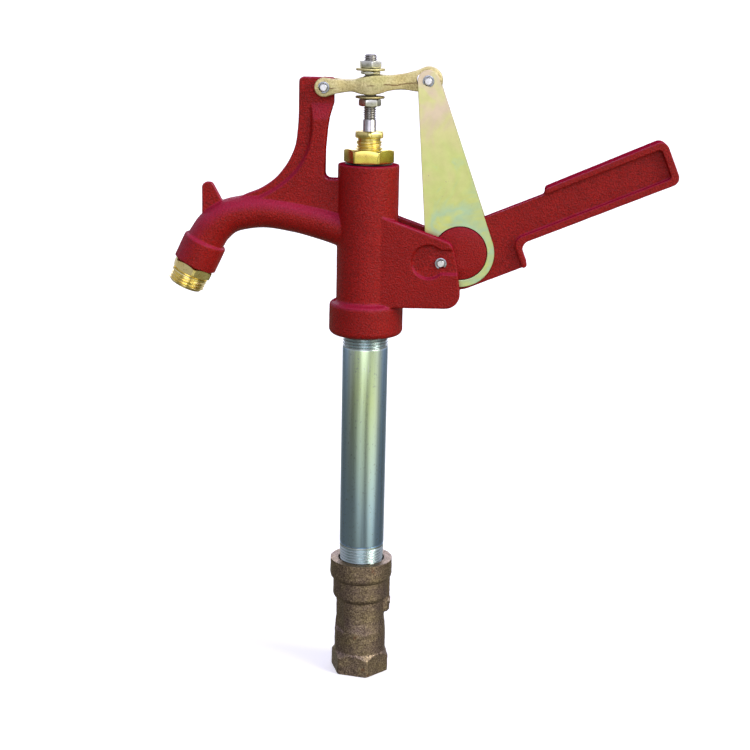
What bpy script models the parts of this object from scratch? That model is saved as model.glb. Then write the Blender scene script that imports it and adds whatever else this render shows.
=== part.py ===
"""Frost-free yard hydrant: head, riser, foot valve and cam lever, with the handle half open.

All sizes are in millimetres and the shape functions turn them into metres.  +Z is up, +X points
along the handle, -Y is the front, and the origin is the centre of the inlet face.
Flat outlines and turned profiles are lists of (x, z) or (radius, z).
"""
import math

import bmesh
import bpy
from mathutils import Matrix, Vector

MM = 0.001
GAP = 0.3
WELD = 0.00001
PART_NAME = "yard_hydrant"

# Heights up the pipe's axis
DRAIN_HEIGHT = 56.0
FOOT_HEX_TOP = 16.8
FOOT_TOP = 90.0
PIPE_BOTTOM = 68.0
PIPE_TOP = 284.0
COLLAR_BOTTOM = 265.6
TUBE_TOP = 388.0
STUFFING_HEX_TOP = 399.2
PACKING_NUT_BOTTOM = 406.9
PACKING_NUT_TOP = 411.8
ROD_TOP = 465.3
ROD_BOTTOM = 35.5

# Radii about the pipe's axis
PIPE_R = 16.7
PIPE_BORE_R = 13.3
COLLAR_R = 26.7
TUBE_R = 21.9
HEAD_BORE_R = 13.5
BORE_TURN = 3.0
ROD_R = 4.76
FOOT_CHAMBER_R = 13.0
FOOT_WAIST_R = 19.3
FOOT_HEX_FLATS = 39.2
FOOT_HEX_SLOPE = 1.35
INLET_R = 12.9
PACKING_THREAD_R = 9.05
GLAND_BORE_R = 9.35

# The foot's side has a cast flat, this far from the axis and turned from -X
FLAT_DISTANCE = 17.0
FLAT_TURN = 29.0

# Pivots of the lever linkage, as (x, z)
FULCRUM = (-32.1, 442.0)
LINK_TOP = (41.4, 448.0)
HANDLE_PIVOT = (54.0, 320.6)
CAM_CENTRE = (67.4, 327.0)
BOSS_CENTRE = (0.0, 443.9)
HANDLE_ANGLE = 23.0
PIN_R = 3.175
PIN_HOLE_R = 3.5
CAM_R = 18.9
RING_HOLE_R = 19.4
RING_R = 24.5
LINK_END_R = 7.7
BOSS_CROWN_R = 7.3

# The link's pin wanders in the rocker between a right end and two left ends,
# measured along and across the rocker's own slope
LINK_SLOT_LEFT = -4.91
LINK_SLOT_LEFT_HEIGHTS = (1.54, 0.33)
LINK_SLOT_RIGHT = (2.5, -1.4)
LINK_SLOT_RIGHT_R = 3.9

# Layers across the linkage, measured from the middle plane
POST_HALF = 4.5
WEB_HALF = 7.6
HANDLE_HALF = 5.0
RIM_HALF = 9.5
CAM_HALF = 9.5
LINK_INNER = 5.6
LINK_OUTER = 8.8
EAR_INNER = 10.0
EAR_OUTER = 19.0
POCKET_FLOOR = 16.0
ROCKER_HALF = 5.2
FORK_INNER = 5.0
FORK_OUTER = 10.0

# Spout
SPOUT_LINE = [(-6, 337.3), (-28, 344.2), (-50, 349.3), (-75, 352.3), (-98, 348.9), (-110.8, 340.4),
              (-117.6, 331)]
SPOUT_RADII = [13.2, 12.8, 12.2, 12.1, 12.5, 13.2, 13.6]
SPOUT_BORE_R = 8.8
SOCKET_TOP = 15.8
SPOUT_TILT = 25.0
MOUTH = (-126.0, 312.6)
MOUTH_COLLAR_R = 15.9
NOZZLE_SHANK_R = 10.5

# Colour, metallic, roughness
MATERIALS = {
    "red_paint": ((0.36, 0.012, 0.016), 0.0, 0.42),
    "galvanized": ((0.55, 0.60, 0.63), 1.0, 0.34),
    "bronze": ((0.30, 0.22, 0.14), 1.0, 0.55),
    "brass": ((0.83, 0.63, 0.24), 1.0, 0.24),
    "chromate": ((0.72, 0.63, 0.36), 1.0, 0.36),
    "zinc": ((0.74, 0.74, 0.66), 1.0, 0.28),
    "steel": ((0.50, 0.50, 0.51), 1.0, 0.25),
    "black_rubber": ((0.02, 0.02, 0.022), 0.0, 0.6),
    "packing": ((0.06, 0.06, 0.06), 0.0, 0.8),
}


def clear_scene():
    for old in list(bpy.data.objects):
        bpy.data.objects.remove(old, do_unlink=True)


def make_collection(name):
    group = bpy.data.collections.new(name)
    bpy.context.scene.collection.children.link(group)
    return group


def make_material(name):
    colour, metallic, roughness = MATERIALS[name]
    material = bpy.data.materials.new(name)
    material.use_nodes = True
    shader = material.node_tree.nodes["Principled BSDF"]
    shader.inputs["Base Color"].default_value = (*colour, 1.0)
    shader.inputs["Metallic"].default_value = metallic
    shader.inputs["Roughness"].default_value = roughness
    material.diffuse_color = (*colour, 1.0)
    return material


# ---------------------------------------------------------------- outlines

def arc(centre, radius, start, end, steps):
    """Points round a centre from one angle to another, in degrees."""
    points = []
    for step in range(steps + 1):
        angle = math.radians(start + (end - start) * step / steps)
        points.append((centre[0] + radius * math.cos(angle), centre[1] + radius * math.sin(angle)))
    return points


def rounded(corners, degrees_per_step=22.0):
    """Outline through corners given as (x, z, radius), each corner turned into an arc."""
    points = []
    for index, (x, z, radius) in enumerate(corners):
        corner = Vector((x, z))
        if radius == 0:
            points.append(tuple(corner))
            continue
        before = (Vector(corners[index - 1][:2]) - corner).normalized()
        after = (Vector(corners[(index + 1) % len(corners)][:2]) - corner).normalized()
        half = before.angle(after) / 2
        centre = corner + (before + after).normalized() * radius / math.sin(half)
        first = corner + before * radius / math.tan(half) - centre
        last = corner + after * radius / math.tan(half) - centre
        start = math.degrees(math.atan2(first.y, first.x))
        sweep = (math.degrees(math.atan2(last.y, last.x)) - start + 180) % 360 - 180
        steps = max(1, round(abs(sweep) / degrees_per_step))
        points += arc(centre, radius, start, start + sweep, steps)
    return points


def smooth_line(points, steps):
    """Catmull-Rom curve through points of any dimension."""
    line = []
    for index in range(len(points) - 1):
        p1, p2 = Vector(points[index]), Vector(points[index + 1])
        p0 = Vector(points[index - 1]) if index else 2 * p1 - p2
        p3 = Vector(points[index + 2]) if index + 2 < len(points) else 2 * p2 - p1
        for step in range(steps):
            t = step / steps
            line.append(tuple(0.5 * (2 * p1 + (p2 - p0) * t + (2 * p0 - 5 * p1 + 4 * p2 - p3) * t ** 2
                                     + (3 * p1 - p0 - 3 * p2 + p3) * t ** 3)))
    line.append(tuple(points[-1]))
    return line


def hull_of_circles(centre_a, radius_a, centre_b, radius_b, steps):
    """Outline of two circles joined by their outer tangents."""
    offset = Vector(centre_b) - Vector(centre_a)
    heading = math.degrees(math.atan2(offset.y, offset.x))
    lean = math.degrees(math.acos((radius_a - radius_b) / offset.length))
    outline = arc(centre_a, radius_a, heading + lean, heading + 360 - lean, steps)
    outline += arc(centre_b, radius_b, heading - lean, heading + lean, steps)
    return outline


# ---------------------------------------------------------------- solids

def mesh_object(name, mesh, group):
    shape = bpy.data.objects.new(name, mesh)
    group.objects.link(shape)
    return shape


def curve_to_mesh(curve_object, group):
    """Weld an evaluated curve into a mesh object and drop the curve."""
    bpy.context.view_layer.update()
    evaluated = curve_object.evaluated_get(bpy.context.evaluated_depsgraph_get())
    mesh = bpy.data.meshes.new_from_object(evaluated)
    welded = bmesh.new()
    welded.from_mesh(mesh)
    bmesh.ops.remove_doubles(welded, verts=welded.verts, dist=WELD)
    welded.to_mesh(mesh)
    welded.free()
    name = curve_object.name
    placed = curve_object.matrix_world.copy()
    bpy.data.objects.remove(curve_object, do_unlink=True)
    solid = mesh_object(name, mesh, group)
    solid.matrix_world = placed
    return solid


def turned(name, profile, group, segments=32, ring=False):
    """Profile of (radius, z) down the outer side, spun about Z; a ring's profile closes."""
    vertices = [(radius * MM, 0.0, z * MM) for radius, z in profile]
    edges = [(index, index + 1) for index in range(len(profile) - 1)]
    if ring:
        edges.append((len(profile) - 1, 0))
    mesh = bpy.data.meshes.new(name)
    mesh.from_pydata(vertices, edges, [])
    solid = mesh_object(name, mesh, group)
    screw = solid.modifiers.new("Turn", "SCREW")
    screw.axis = "Z"
    screw.steps = segments
    screw.render_steps = segments
    screw.use_merge_vertices = True
    screw.merge_threshold = WELD
    return solid


def plate(name, outline, near, far, group, origin=(0.0, 0.0)):
    """Flat outline in the XZ plane, filled from y = near to y = far, about an origin (x, z)."""
    curve = bpy.data.curves.new(name, "CURVE")
    curve.dimensions = "2D"
    curve.fill_mode = "BOTH"
    curve.extrude = abs(far - near) / 2 * MM
    spline = curve.splines.new("POLY")
    spline.points.add(len(outline) - 1)
    for point, (x, z) in zip(spline.points, outline):
        point.co = ((x - origin[0]) * MM, (z - origin[1]) * MM, 0.0, 1.0)
    spline.use_cyclic_u = True
    flat = bpy.data.objects.new(name, curve)
    group.objects.link(flat)
    solid = curve_to_mesh(flat, group)
    stand = Matrix.Translation((0, (near + far) / 2 * MM, 0)) @ Matrix.Rotation(math.radians(90), 4, "X")
    solid.data.transform(stand)
    solid.location = (origin[0] * MM, 0.0, origin[1] * MM)
    return solid


def swept(name, line, radii, sides, group):
    """Round tube of changing radius along a line in the XZ plane."""
    curve = bpy.data.curves.new(name, "CURVE")
    curve.dimensions = "3D"
    curve.bevel_depth = MM
    curve.bevel_resolution = sides // 2 - 2
    curve.use_fill_caps = True
    spline = curve.splines.new("POLY")
    spline.points.add(len(line) - 1)
    for point, (x, z), radius in zip(spline.points, line, radii):
        point.co = (x * MM, 0.0, z * MM, 1.0)
        point.radius = radius
    tube = bpy.data.objects.new(name, curve)
    group.objects.link(tube)
    return curve_to_mesh(tube, group)


def prism(name, radius, length, segments, group, turn=0.0):
    """Upright prism or cylinder with its middle at the origin."""
    shape = bmesh.new()
    spin = Matrix.Rotation(math.radians(turn), 4, "Z")
    bmesh.ops.create_cone(shape, cap_ends=True, segments=segments, radius1=radius * MM,
                          radius2=radius * MM, depth=length * MM, matrix=spin)
    mesh = bpy.data.meshes.new(name)
    shape.to_mesh(mesh)
    shape.free()
    return mesh_object(name, mesh, group)


def rod_between(name, radius, near, far, x, z, segments, group):
    """Cylinder along Y at (x, z) from y = near to y = far."""
    solid = prism(name, radius, abs(far - near), segments, group)
    solid.rotation_euler.x = math.radians(90)
    solid.location = (x * MM, (near + far) / 2 * MM, z * MM)
    return solid


def block(name, low, high, group):
    """Box between two opposite corners."""
    shape = bmesh.new()
    bmesh.ops.create_cube(shape, size=1.0)
    size = [(b - a) * MM for a, b in zip(low, high)]
    bmesh.ops.scale(shape, vec=size, verts=shape.verts)
    mesh = bpy.data.meshes.new(name)
    shape.to_mesh(mesh)
    shape.free()
    solid = mesh_object(name, mesh, group)
    solid.location = [(a + b) / 2 * MM for a, b in zip(low, high)]
    return solid


def combine(target, tool, operation):
    """Join or cut the target with a tool that stays behind as a hidden guide."""
    tool.hide_render = True
    tool.display_type = "WIRE"
    boolean = target.modifiers.new(tool.name, "BOOLEAN")
    boolean.operation = operation
    boolean.object = tool


def join(target, *tools):
    for tool in tools:
        combine(target, tool, "UNION")


def cut(target, *tools):
    for tool in tools:
        combine(target, tool, "DIFFERENCE")


def hexagon_radius(across_flats):
    return across_flats / math.sqrt(3)


def hex_nut(name, across_flats, bottom, top, bore, turn, parts, guides):
    """Hexagonal nut on the pipe's axis with a plain hole."""
    nut = prism(name, hexagon_radius(across_flats), top - bottom, 6, parts, turn)
    nut.location.z = (bottom + top) / 2 * MM
    hole = prism(name + "_hole", bore, top - bottom + 4, 24, guides)
    hole.location.z = nut.location.z
    cut(nut, hole)


def flat_ring(name, outer, inner, bottom, top, parts, segments=24):
    profile = [(outer, top), (outer, bottom), (inner, bottom), (inner, top)]
    return turned(name, profile, parts, segments, ring=True)


# ---------------------------------------------------------------- fixed pieces

def build_riser(parts):
    flat_ring("riser_pipe", PIPE_R, PIPE_BORE_R, PIPE_BOTTOM, PIPE_TOP, parts, 36)


def build_valve_body(parts, guides):
    profile = [(0, FOOT_TOP), (22.9, FOOT_TOP), (23.3, FOOT_TOP - 0.6), (23.3, 77.2), (22.6, 75.2),
               (20.9, 74.4), (20.9, 61.0), (20.1, 59.2), (18.3, 58.2), (18.3, 41), (FOOT_WAIST_R, 34),
               (FOOT_WAIST_R, FOOT_HEX_TOP - 6), (0, FOOT_HEX_TOP - 6)]
    body = turned("valve_body", profile, parts, 36)
    foot = prism("foot_hexagon", hexagon_radius(FOOT_HEX_FLATS), FOOT_HEX_TOP, 6, guides, turn=18.0)
    foot.location.z = FOOT_HEX_TOP / 2 * MM
    skirt = FOOT_HEX_TOP - 4 * FOOT_HEX_SLOPE
    chamfer = turned("foot_chamfer", [(0, FOOT_HEX_TOP + 1), (FOOT_WAIST_R, FOOT_HEX_TOP + 1),
                                      (FOOT_WAIST_R, FOOT_HEX_TOP), (FOOT_WAIST_R + 4, skirt),
                                      (FOOT_WAIST_R + 4, -1), (0, -1)], guides, 48)
    combine(foot, chamfer, "INTERSECT")
    boss = prism("drain_boss", 4.6, 27.6, 16, guides)
    boss.location = (17.6 * MM, 0, 60.6 * MM)
    join(body, foot, boss)
    flat = block("cast_flat", (-4, -12, -12.2), (4, 12, 12.2), guides)
    flat.rotation_euler.z = math.radians(FLAT_TURN)
    reach = FLAT_DISTANCE + 4
    flat.location = (-reach * math.cos(math.radians(FLAT_TURN)) * MM,
                     -reach * math.sin(math.radians(FLAT_TURN)) * MM, 45.8 * MM)
    bore = turned("foot_bore", [(0, FOOT_TOP + 2), (PIPE_R + GAP, FOOT_TOP + 2),
                                (PIPE_R + GAP, PIPE_BOTTOM - GAP), (FOOT_CHAMBER_R, PIPE_BOTTOM - GAP),
                                (FOOT_CHAMBER_R, 24), (10.5, 24), (10.5, 19.5), (INLET_R, 17.5),
                                (INLET_R, -2), (0, -2)], guides, 36)
    drain = prism("drain_hole", 3.3, 16, 16, guides)
    drain.rotation_euler.y = math.radians(90)
    drain.location = (20 * MM, 0, DRAIN_HEIGHT * MM)
    cut(body, flat, bore, drain)


def build_foot_inserts(parts):
    turned("valve_seat", [(9.4, 32.0), (9.9, 31.4), (9.9, 30.4), (12.7, 30.4), (12.7, 24.3),
                          (7.5, 24.3), (7.5, 31.4), (8.0, 32.0)], parts, 24, ring=True)
    bushing = flat_ring("drain_bushing", 3.0, 1.5, -4.6, 4.0, parts, 16)
    bushing.rotation_euler.y = math.radians(-90)
    bushing.location = (18.2 * MM, 0, DRAIN_HEIGHT * MM)


def along_spout(distance):
    """Point on the mouth's axis, this far back up from the mouth."""
    tilt = math.radians(SPOUT_TILT)
    return MOUTH[0] + distance * math.sin(tilt), MOUTH[1] + distance * math.cos(tilt)


def place_on_spout(solid, distance):
    x, z = along_spout(distance)
    solid.rotation_euler.y = math.radians(SPOUT_TILT)
    solid.location = (x * MM, 0, z * MM)


def build_spout(guides):
    steps = 3
    line = smooth_line(SPOUT_LINE, steps)
    radii = [radius for radius, _ in smooth_line([(radius, 0) for radius in SPOUT_RADII], steps)]
    outside = swept("spout_outside", line + [along_spout(12)], radii + [SPOUT_RADII[-1]], 16, guides)
    socket_r = NOZZLE_SHANK_R + GAP
    inside_line = line + [along_spout(SOCKET_TOP + 0.2), along_spout(SOCKET_TOP), along_spout(-4)]
    inside_radii = [SPOUT_BORE_R] * (len(line) + 1) + [socket_r, socket_r]
    inside = swept("spout_inside", inside_line, inside_radii, 24, guides)
    collar = turned("mouth_collar", [(0, 19.5), (13.4, 19.5), (15.3, 18.3), (MOUTH_COLLAR_R, 17),
                                     (MOUTH_COLLAR_R, 0.8), (14.8, 0), (0, 0)], guides, 28)
    place_on_spout(collar, 0)
    return outside, inside, collar


def post_outer_edge():
    """Left edge of the fulcrum post, sweeping from its top down to the spout."""
    return smooth_line([(-50.3, 425), (-50.9, 412.5), (-52.7, 400.3), (-58, 388.1), (-66.9, 376.8),
                        (-77.8, 368.8), (-90, 363.5), (-99, 358)], 3)


def web_outer_edge():
    """Left edge of the post's raised web, a band's width inside the post's own edge."""
    return smooth_line([(-40.2, 431), (-40.2, 414), (-41.6, 401.5), (-45.2, 391.4), (-50.5, 382.8),
                        (-57.7, 375.3), (-67, 368.3), (-79, 361.5)], 3)


def build_post(guides):
    top = rounded([(-25.5, 431, 0), (-25.5, 448.4, 1), (-50.2, 448.4, 3), (-50.2, 430, 0)])
    inner_edge = [(-31.3, 398), (-30.1, 412), (-28.9, 420)]
    notch = rounded([(-15, 377.2, 0), (-31.4, 377.2, 4), (*inner_edge[0], 0)])[:-1] + inner_edge
    root = [(-94, 350), (-60, 349), (-15, 343)]
    post = plate("fulcrum_post", top + post_outer_edge() + root + notch, -POST_HALF, POST_HALF, guides)
    web = plate("post_web", [(-25.7, 431)] + web_outer_edge() + root + notch, -WEB_HALF, WEB_HALF, guides)
    slope_web_top(web)
    return post, web


def slope_web_top(web):
    """Slice both faces of the web into a shoulder that runs out at the post's thickness."""
    shape = bmesh.new()
    shape.from_mesh(web.data)
    for side in (-1, 1):
        normal = Vector((0, side * 12.0, WEB_HALF - POST_HALF)).normalized()
        edge_point = Vector((0, side * POST_HALF * MM, 431.2 * MM))
        geometry = shape.verts[:] + shape.edges[:] + shape.faces[:]
        cut_result = bmesh.ops.bisect_plane(shape, geom=geometry, plane_co=edge_point,
                                            plane_no=normal, clear_outer=True)
        loop = [item for item in cut_result["geom_cut"] if isinstance(item, bmesh.types.BMEdge)]
        bmesh.ops.holes_fill(shape, edges=loop, sides=0)
    bmesh.ops.recalc_face_normals(shape, faces=shape.faces)
    shape.to_mesh(web.data)
    shape.free()


def build_ears(guides):
    outline = rounded([(9, 353.5, 0), (61.3, 335.4, 8), (65.3, 320, 40), (70, 288.2, 10.5), (9, 287.2, 0)])
    ears, cutters = [], []
    for side, label in ((-1, "front"), (1, "back")):
        ears.append(plate("ear_" + label, outline, side * EAR_INNER, side * EAR_OUTER, guides))
        cutters.append(rod_between("ear_pocket_" + label, 12.2, side * POCKET_FLOOR, side * 24,
                                   45.2, 321.6, 32, guides))
        cutters.append(block("ear_slot_" + label, (48, min(side * POCKET_FLOOR, side * 24), 313.2),
                             (74, max(side * POCKET_FLOOR, side * 24), 330.6), guides))
    return ears, cutters


def build_head(parts, guides):
    profile = [(0, TUBE_TOP), (20.2, TUBE_TOP), (21.4, 387.3), (TUBE_R, 385.8), (TUBE_R, 290.5),
               (22.6, 288.6), (25.2, 287.9), (26.3, 286.8), (COLLAR_R, 285.1), (COLLAR_R, 267.6),
               (26, 266.2), (24.6, COLLAR_BOTTOM), (0, COLLAR_BOTTOM)]
    head = turned("head_casting", profile, parts, 36)
    outside, inside, mouth_collar = build_spout(guides)
    post, web = build_post(guides)
    ears, ear_cutters = build_ears(guides)
    fin = plate("stop_fin", rounded([(-120.3, 345, 0), (-120.3, 372.3, 3.8), (-113.2, 372.3, 3.6),
                                     (-105.5, 358, 0), (-103, 348, 0)]), -3, 3, guides)
    join(head, outside, mouth_collar, post, web, fin, *ears)
    bore = turned("head_bore", [(0, TUBE_TOP + 2), (HEAD_BORE_R, TUBE_TOP + 2), (HEAD_BORE_R, PIPE_TOP + GAP),
                                (PIPE_R + GAP, PIPE_TOP + GAP), (PIPE_R + GAP, COLLAR_BOTTOM - 2),
                                (0, COLLAR_BOTTOM - 2)], guides, 36)
    bore.rotation_euler.z = math.radians(BORE_TURN)
    fulcrum_hole = rod_between("fulcrum_hole", PIN_HOLE_R, -12, 12, *FULCRUM, 20, guides)
    handle_hole = rod_between("handle_hole", PIN_HOLE_R, -24, 24, *HANDLE_PIVOT, 20, guides)
    cut(head, bore, inside, fulcrum_hole, handle_hole, *ear_cutters)


def build_nozzle(parts, guides):
    nozzle = turned("hose_nozzle", [(NOZZLE_SHANK_R, 12), (NOZZLE_SHANK_R, -0.3 - GAP), (11.6, -1.0),
                                    (11.6, -7.3), (13.25, -8.2), (13.25, -16.6), (12.3, -17.9),
                                    (9.5, -17.9), (9.5, -12), (8.2, -10), (8.2, 12)],
                    parts, 24, ring=True)
    place_on_spout(nozzle, 0)
    grip = prism("nozzle_hexagon", hexagon_radius(27.0), 6.6, 6, guides, turn=12.0)
    place_on_spout(grip, -0.6 - 3.3)
    grip_bore = prism("nozzle_hexagon_bore", 10.0, 8, 24, guides)
    place_on_spout(grip_bore, -0.6 - 3.3)
    cut(grip, grip_bore)
    join(nozzle, grip)


def hexagon_head(name, across_flats, bottom, top, turn, shank_r, shank_bottom, bore, parts, guides):
    """Hexagon with a round shank below it and a turned bore, given as a closed cutter's profile."""
    solid = prism(name, hexagon_radius(across_flats), top - bottom, 6, parts, turn)
    solid.location.z = (top + bottom) / 2 * MM
    shank = turned(name + "_shank", [(0, top - 2), (shank_r, top - 2), (shank_r, shank_bottom),
                                     (0, shank_bottom)], guides)
    join(solid, shank)
    cut(solid, turned(name + "_bore", bore, guides))


def build_stuffing_box(parts, guides):
    hexagon_bottom = TUBE_TOP + 1.4
    rod_hole = ROD_R + GAP
    hexagon_head("stuffing_box", 31.9, hexagon_bottom, STUFFING_HEX_TOP, 27.0, 13.2, 368,
                 [(0, 404), (GLAND_BORE_R, 404), (GLAND_BORE_R, 374), (rod_hole, 374), (rod_hole, 366), (0, 366)],
                 parts, guides)
    hexagon_head("packing_nut", 19.8, PACKING_NUT_BOTTOM, PACKING_NUT_TOP, 4.0, PACKING_THREAD_R, 389.3,
                 [(0, 414), (rod_hole, 414), (rod_hole, 387), (0, 387)], parts, guides)
    flat_ring("box_gasket", 16.9, 13.5, TUBE_TOP + 0.25, hexagon_bottom - 0.25, parts, 32)
    for number in range(3):
        bottom = 374.3 + 4.0 * number
        flat_ring("packing_ring_%d" % (number + 1), PACKING_THREAD_R, rod_hole, bottom, bottom + 3.7, parts)
    flat_ring("gland_follower", PACKING_THREAD_R, rod_hole, 386.3, 389.0, parts)


# ---------------------------------------------------------------- pins and clips

def build_pin(name, pivot, half_length, clip_inside, parts):
    """Pin along Y with two ring grooves, and a C-shaped clip in each groove."""
    groove_in, groove_out = clip_inside - GAP, clip_inside + 1.0 + GAP
    half = [(PIN_R - 0.5, half_length), (PIN_R, half_length - 0.5), (PIN_R, groove_out),
            (2.65, groove_out), (2.65, groove_in), (PIN_R, groove_in)]
    profile = [(0, half_length)] + half + [(radius, -z) for radius, z in reversed(half)] + [(0, -half_length)]
    pin = turned(name + "_pin", profile, parts, 16)
    pin.rotation_euler.x = math.radians(90)
    pin.location = (pivot[0] * MM, 0, pivot[1] * MM)
    outline = arc(pivot, 4.6, -60, 240, 12) + arc(pivot, 2.95, 240, -60, 12)
    for side, label in ((-1, "front"), (1, "back")):
        plate("%s_clip_%s" % (name, label), outline, side * clip_inside, side * (clip_inside + 1.0),
              parts, origin=pivot)


# ---------------------------------------------------------------- moving pieces

def build_handle(parts, guides):
    outline = rounded([(-9, -11, 7), (-9, 11, 7), (4, 17.8, 8), (85.5, 17.8, 2), (88.4, 21.9, 2),
                       (178, 23.5, 6), (178, -8.8, 6), (57.2, -8.8, 6.5), (56.5, -25.6, 2), (4, -25.6, 14)])
    handle = plate("handle_lever", outline, -RIM_HALF, RIM_HALF, parts)
    inside_rim = rounded([(172.8, 18.6, 3), (86.8, 18.2, 0), (86.8, 30, 0), (-20, 30, 0), (-20, -40, 0),
                          (52.4, -40, 0), (53.4, -3.8, 7), (172.8, -3.6, 3)])
    pockets = [plate("handle_pocket_front", inside_rim, -HANDLE_HALF, -RIM_HALF - 4, guides),
               plate("handle_pocket_back", inside_rim, HANDLE_HALF, RIM_HALF + 4, guides)]
    cam_offset = Vector(CAM_CENTRE) - Vector(HANDLE_PIVOT)
    turn = math.radians(HANDLE_ANGLE)
    cam_u = cam_offset.x * math.cos(turn) + cam_offset.y * math.sin(turn)
    cam_v = cam_offset.y * math.cos(turn) - cam_offset.x * math.sin(turn)
    cam = rod_between("handle_cam", CAM_R, -CAM_HALF, CAM_HALF, cam_u, cam_v, 40, guides)
    hole = rod_between("handle_pivot_hole", PIN_HOLE_R, -12, 12, 0, 0, 20, guides)
    for shape in (*pockets, cam, hole):
        shape.parent = handle
    cut(handle, *pockets)
    join(handle, cam)
    cut(handle, hole)
    handle.rotation_euler.y = -turn
    handle.location = (HANDLE_PIVOT[0] * MM, 0, HANDLE_PIVOT[1] * MM)


def build_links(parts, guides):
    outline = hull_of_circles(CAM_CENTRE, RING_R, LINK_TOP, LINK_END_R, 24)
    ring_hole = rod_between("link_ring_hole", RING_HOLE_R, -12, 12, *CAM_CENTRE, 40, guides)
    pin_hole = rod_between("link_pin_hole", PIN_HOLE_R, -12, 12, *LINK_TOP, 20, guides)
    for side, label in ((-1, "front"), (1, "back")):
        link = plate("link_" + label, outline, side * LINK_INNER, side * LINK_OUTER, parts, origin=CAM_CENTRE)
        cut(link, ring_hole, pin_hole)


def rocker_outline():
    """Side view of the rocker from the fork's eye along to the link's eye."""
    left = arc(FULCRUM, 6.7, 100, 280, 8)
    right = arc(LINK_TOP, 9.8, -70, 110, 10)
    below = smooth_line([(-24, 437.8), (-13, 439.6), (-6, 438.0), (2, 437.5), (8.5, 438.9), (13, 440.4),
                         (22, 441.6), (34, 440.4)], 2)
    above = smooth_line([(32, 454.6), (22, 452.0), (12, 451.0), (4, 451.0), (-5, 449.4), (-13, 447.3),
                         (-24, 447.6)], 2)
    return left + below + right + above


def build_rocker(parts, guides):
    rocker = plate("rocker_arm", rocker_outline(), -ROCKER_HALF, ROCKER_HALF, parts, origin=FULCRUM)
    fork = plate("rocker_fork", arc(FULCRUM, 6.7, 90, 270, 8)
                 + [(-24, 437.4), (-12, 439.3), (-3, 440), (-3, 447.6), (-12, 447.1), (-24, 447.8)],
                 -FORK_OUTER, FORK_OUTER, guides)
    boss = prism("rocker_boss", 10.5, 18, 32, guides)
    boss.location.z = BOSS_CENTRE[1] * MM
    crown = rod_between("rocker_crown", BOSS_CROWN_R, -14, 14, *BOSS_CENTRE, 32, guides)
    combine(boss, crown, "INTERSECT")
    join(rocker, fork, boss)
    slot = block("rocker_fork_slot", (-44, -FORK_INNER, 430), (-22, FORK_INNER, 456), guides)
    rod_slot = prism("rocker_rod_slot", ROD_R + 0.9, 24, 24, guides)
    rod_slot.scale.x = 1.52
    rod_slot.location.z = BOSS_CENTRE[1] * MM
    fulcrum_hole = rod_between("rocker_fulcrum_hole", PIN_HOLE_R, -14, 14, *FULCRUM, 20, guides)
    slides = [plate("rocker_link_slot_%d" % number, link_slot_outline(height), -14, 14, guides, origin=LINK_TOP)
              for number, height in enumerate(LINK_SLOT_LEFT_HEIGHTS)]
    cut(rocker, slot, rod_slot, fulcrum_hole, *slides)


def link_slot_outline(left_height):
    """Slot for the link's pin, from one of its left ends to its right end."""
    slope = math.atan2(LINK_TOP[1] - FULCRUM[1], LINK_TOP[0] - FULCRUM[0])
    turn = Matrix.Rotation(slope, 2)
    left = Vector(LINK_TOP) + turn @ Vector((LINK_SLOT_LEFT, left_height))
    right = Vector(LINK_TOP) + turn @ Vector(LINK_SLOT_RIGHT)
    return hull_of_circles(tuple(right), LINK_SLOT_RIGHT_R, tuple(left), PIN_HOLE_R, 12)


def build_rod(parts, guides):
    turned("operating_rod", [(0, ROD_TOP), (4.2, ROD_TOP), (ROD_R, ROD_TOP - 0.7), (ROD_R, ROD_BOTTOM + 0.7),
                             (4.2, ROD_BOTTOM), (0, ROD_BOTTOM)], parts, 24)
    hole = ROD_R + GAP
    hex_nut("top_jam_nut", 14.3, 455.9, 461.0, hole, 12.0, parts, guides)
    flat_ring("top_washer", 10.4, hole, 454.0, 455.6, parts, 32)
    hex_nut("upper_nut", 12.7, 451.5, 453.7, hole, 20.0, parts, guides)
    flat_ring("lower_washer", 10.4, hole, 434.6, 436.3, parts, 32)
    hex_nut("lower_jam_nut", 14.3, 429.2, 434.3, hole, 43.0, parts, guides)


def build_plunger(parts, guides):
    hole = ROD_R + GAP
    body = turned("plunger_body", [(11.8, 62), (12.4, 61.4), (12.4, 58), (10.4, 58), (10.4, 54), (12.4, 54),
                                   (12.4, 53), (7.2, 52.4), (6.8, 51), (10.5, 50.4), (10.5, 48.6),
                                   (hole, 48.6), (hole, 62)], parts, 24, ring=True)
    for number in range(4):
        angle = math.radians(45 + 90 * number)
        passage = prism("plunger_passage_%d" % (number + 1), 1.6, 12, 12, guides)
        passage.location = (8.05 * math.cos(angle) * MM, 8.05 * math.sin(angle) * MM, 58 * MM)
        cut(body, passage)
    flat_ring("plunger_seal", 12.7, 10.7, 54.3, 57.7, parts)
    flat_ring("plunger_rubber", 10.5, hole, 42.3, 48.3, parts)
    flat_ring("plunger_washer", 6.6, hole, 40.8, 42.0, parts)
    hex_nut("plunger_nut", 11.0, 36.6, 40.5, hole, 0.0, parts, guides)


# ---------------------------------------------------------------- finish

NODE_MATERIALS = {
    "red_paint": ["head_casting", "handle_lever"],
    "galvanized": ["riser_pipe"],
    "bronze": ["valve_body"],
    "brass": ["hose_nozzle", "stuffing_box", "packing_nut", "gland_follower", "valve_seat",
              "drain_bushing", "plunger_body", "plunger_nut", "plunger_washer"],
    "chromate": ["rocker_arm", "link_front", "link_back", "top_washer", "lower_washer"],
    "zinc": ["top_jam_nut", "upper_nut", "lower_jam_nut"],
    "steel": ["operating_rod"],
    "black_rubber": ["box_gasket", "plunger_rubber", "plunger_seal"],
    "packing": ["packing_ring_1", "packing_ring_2", "packing_ring_3"],
}


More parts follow.
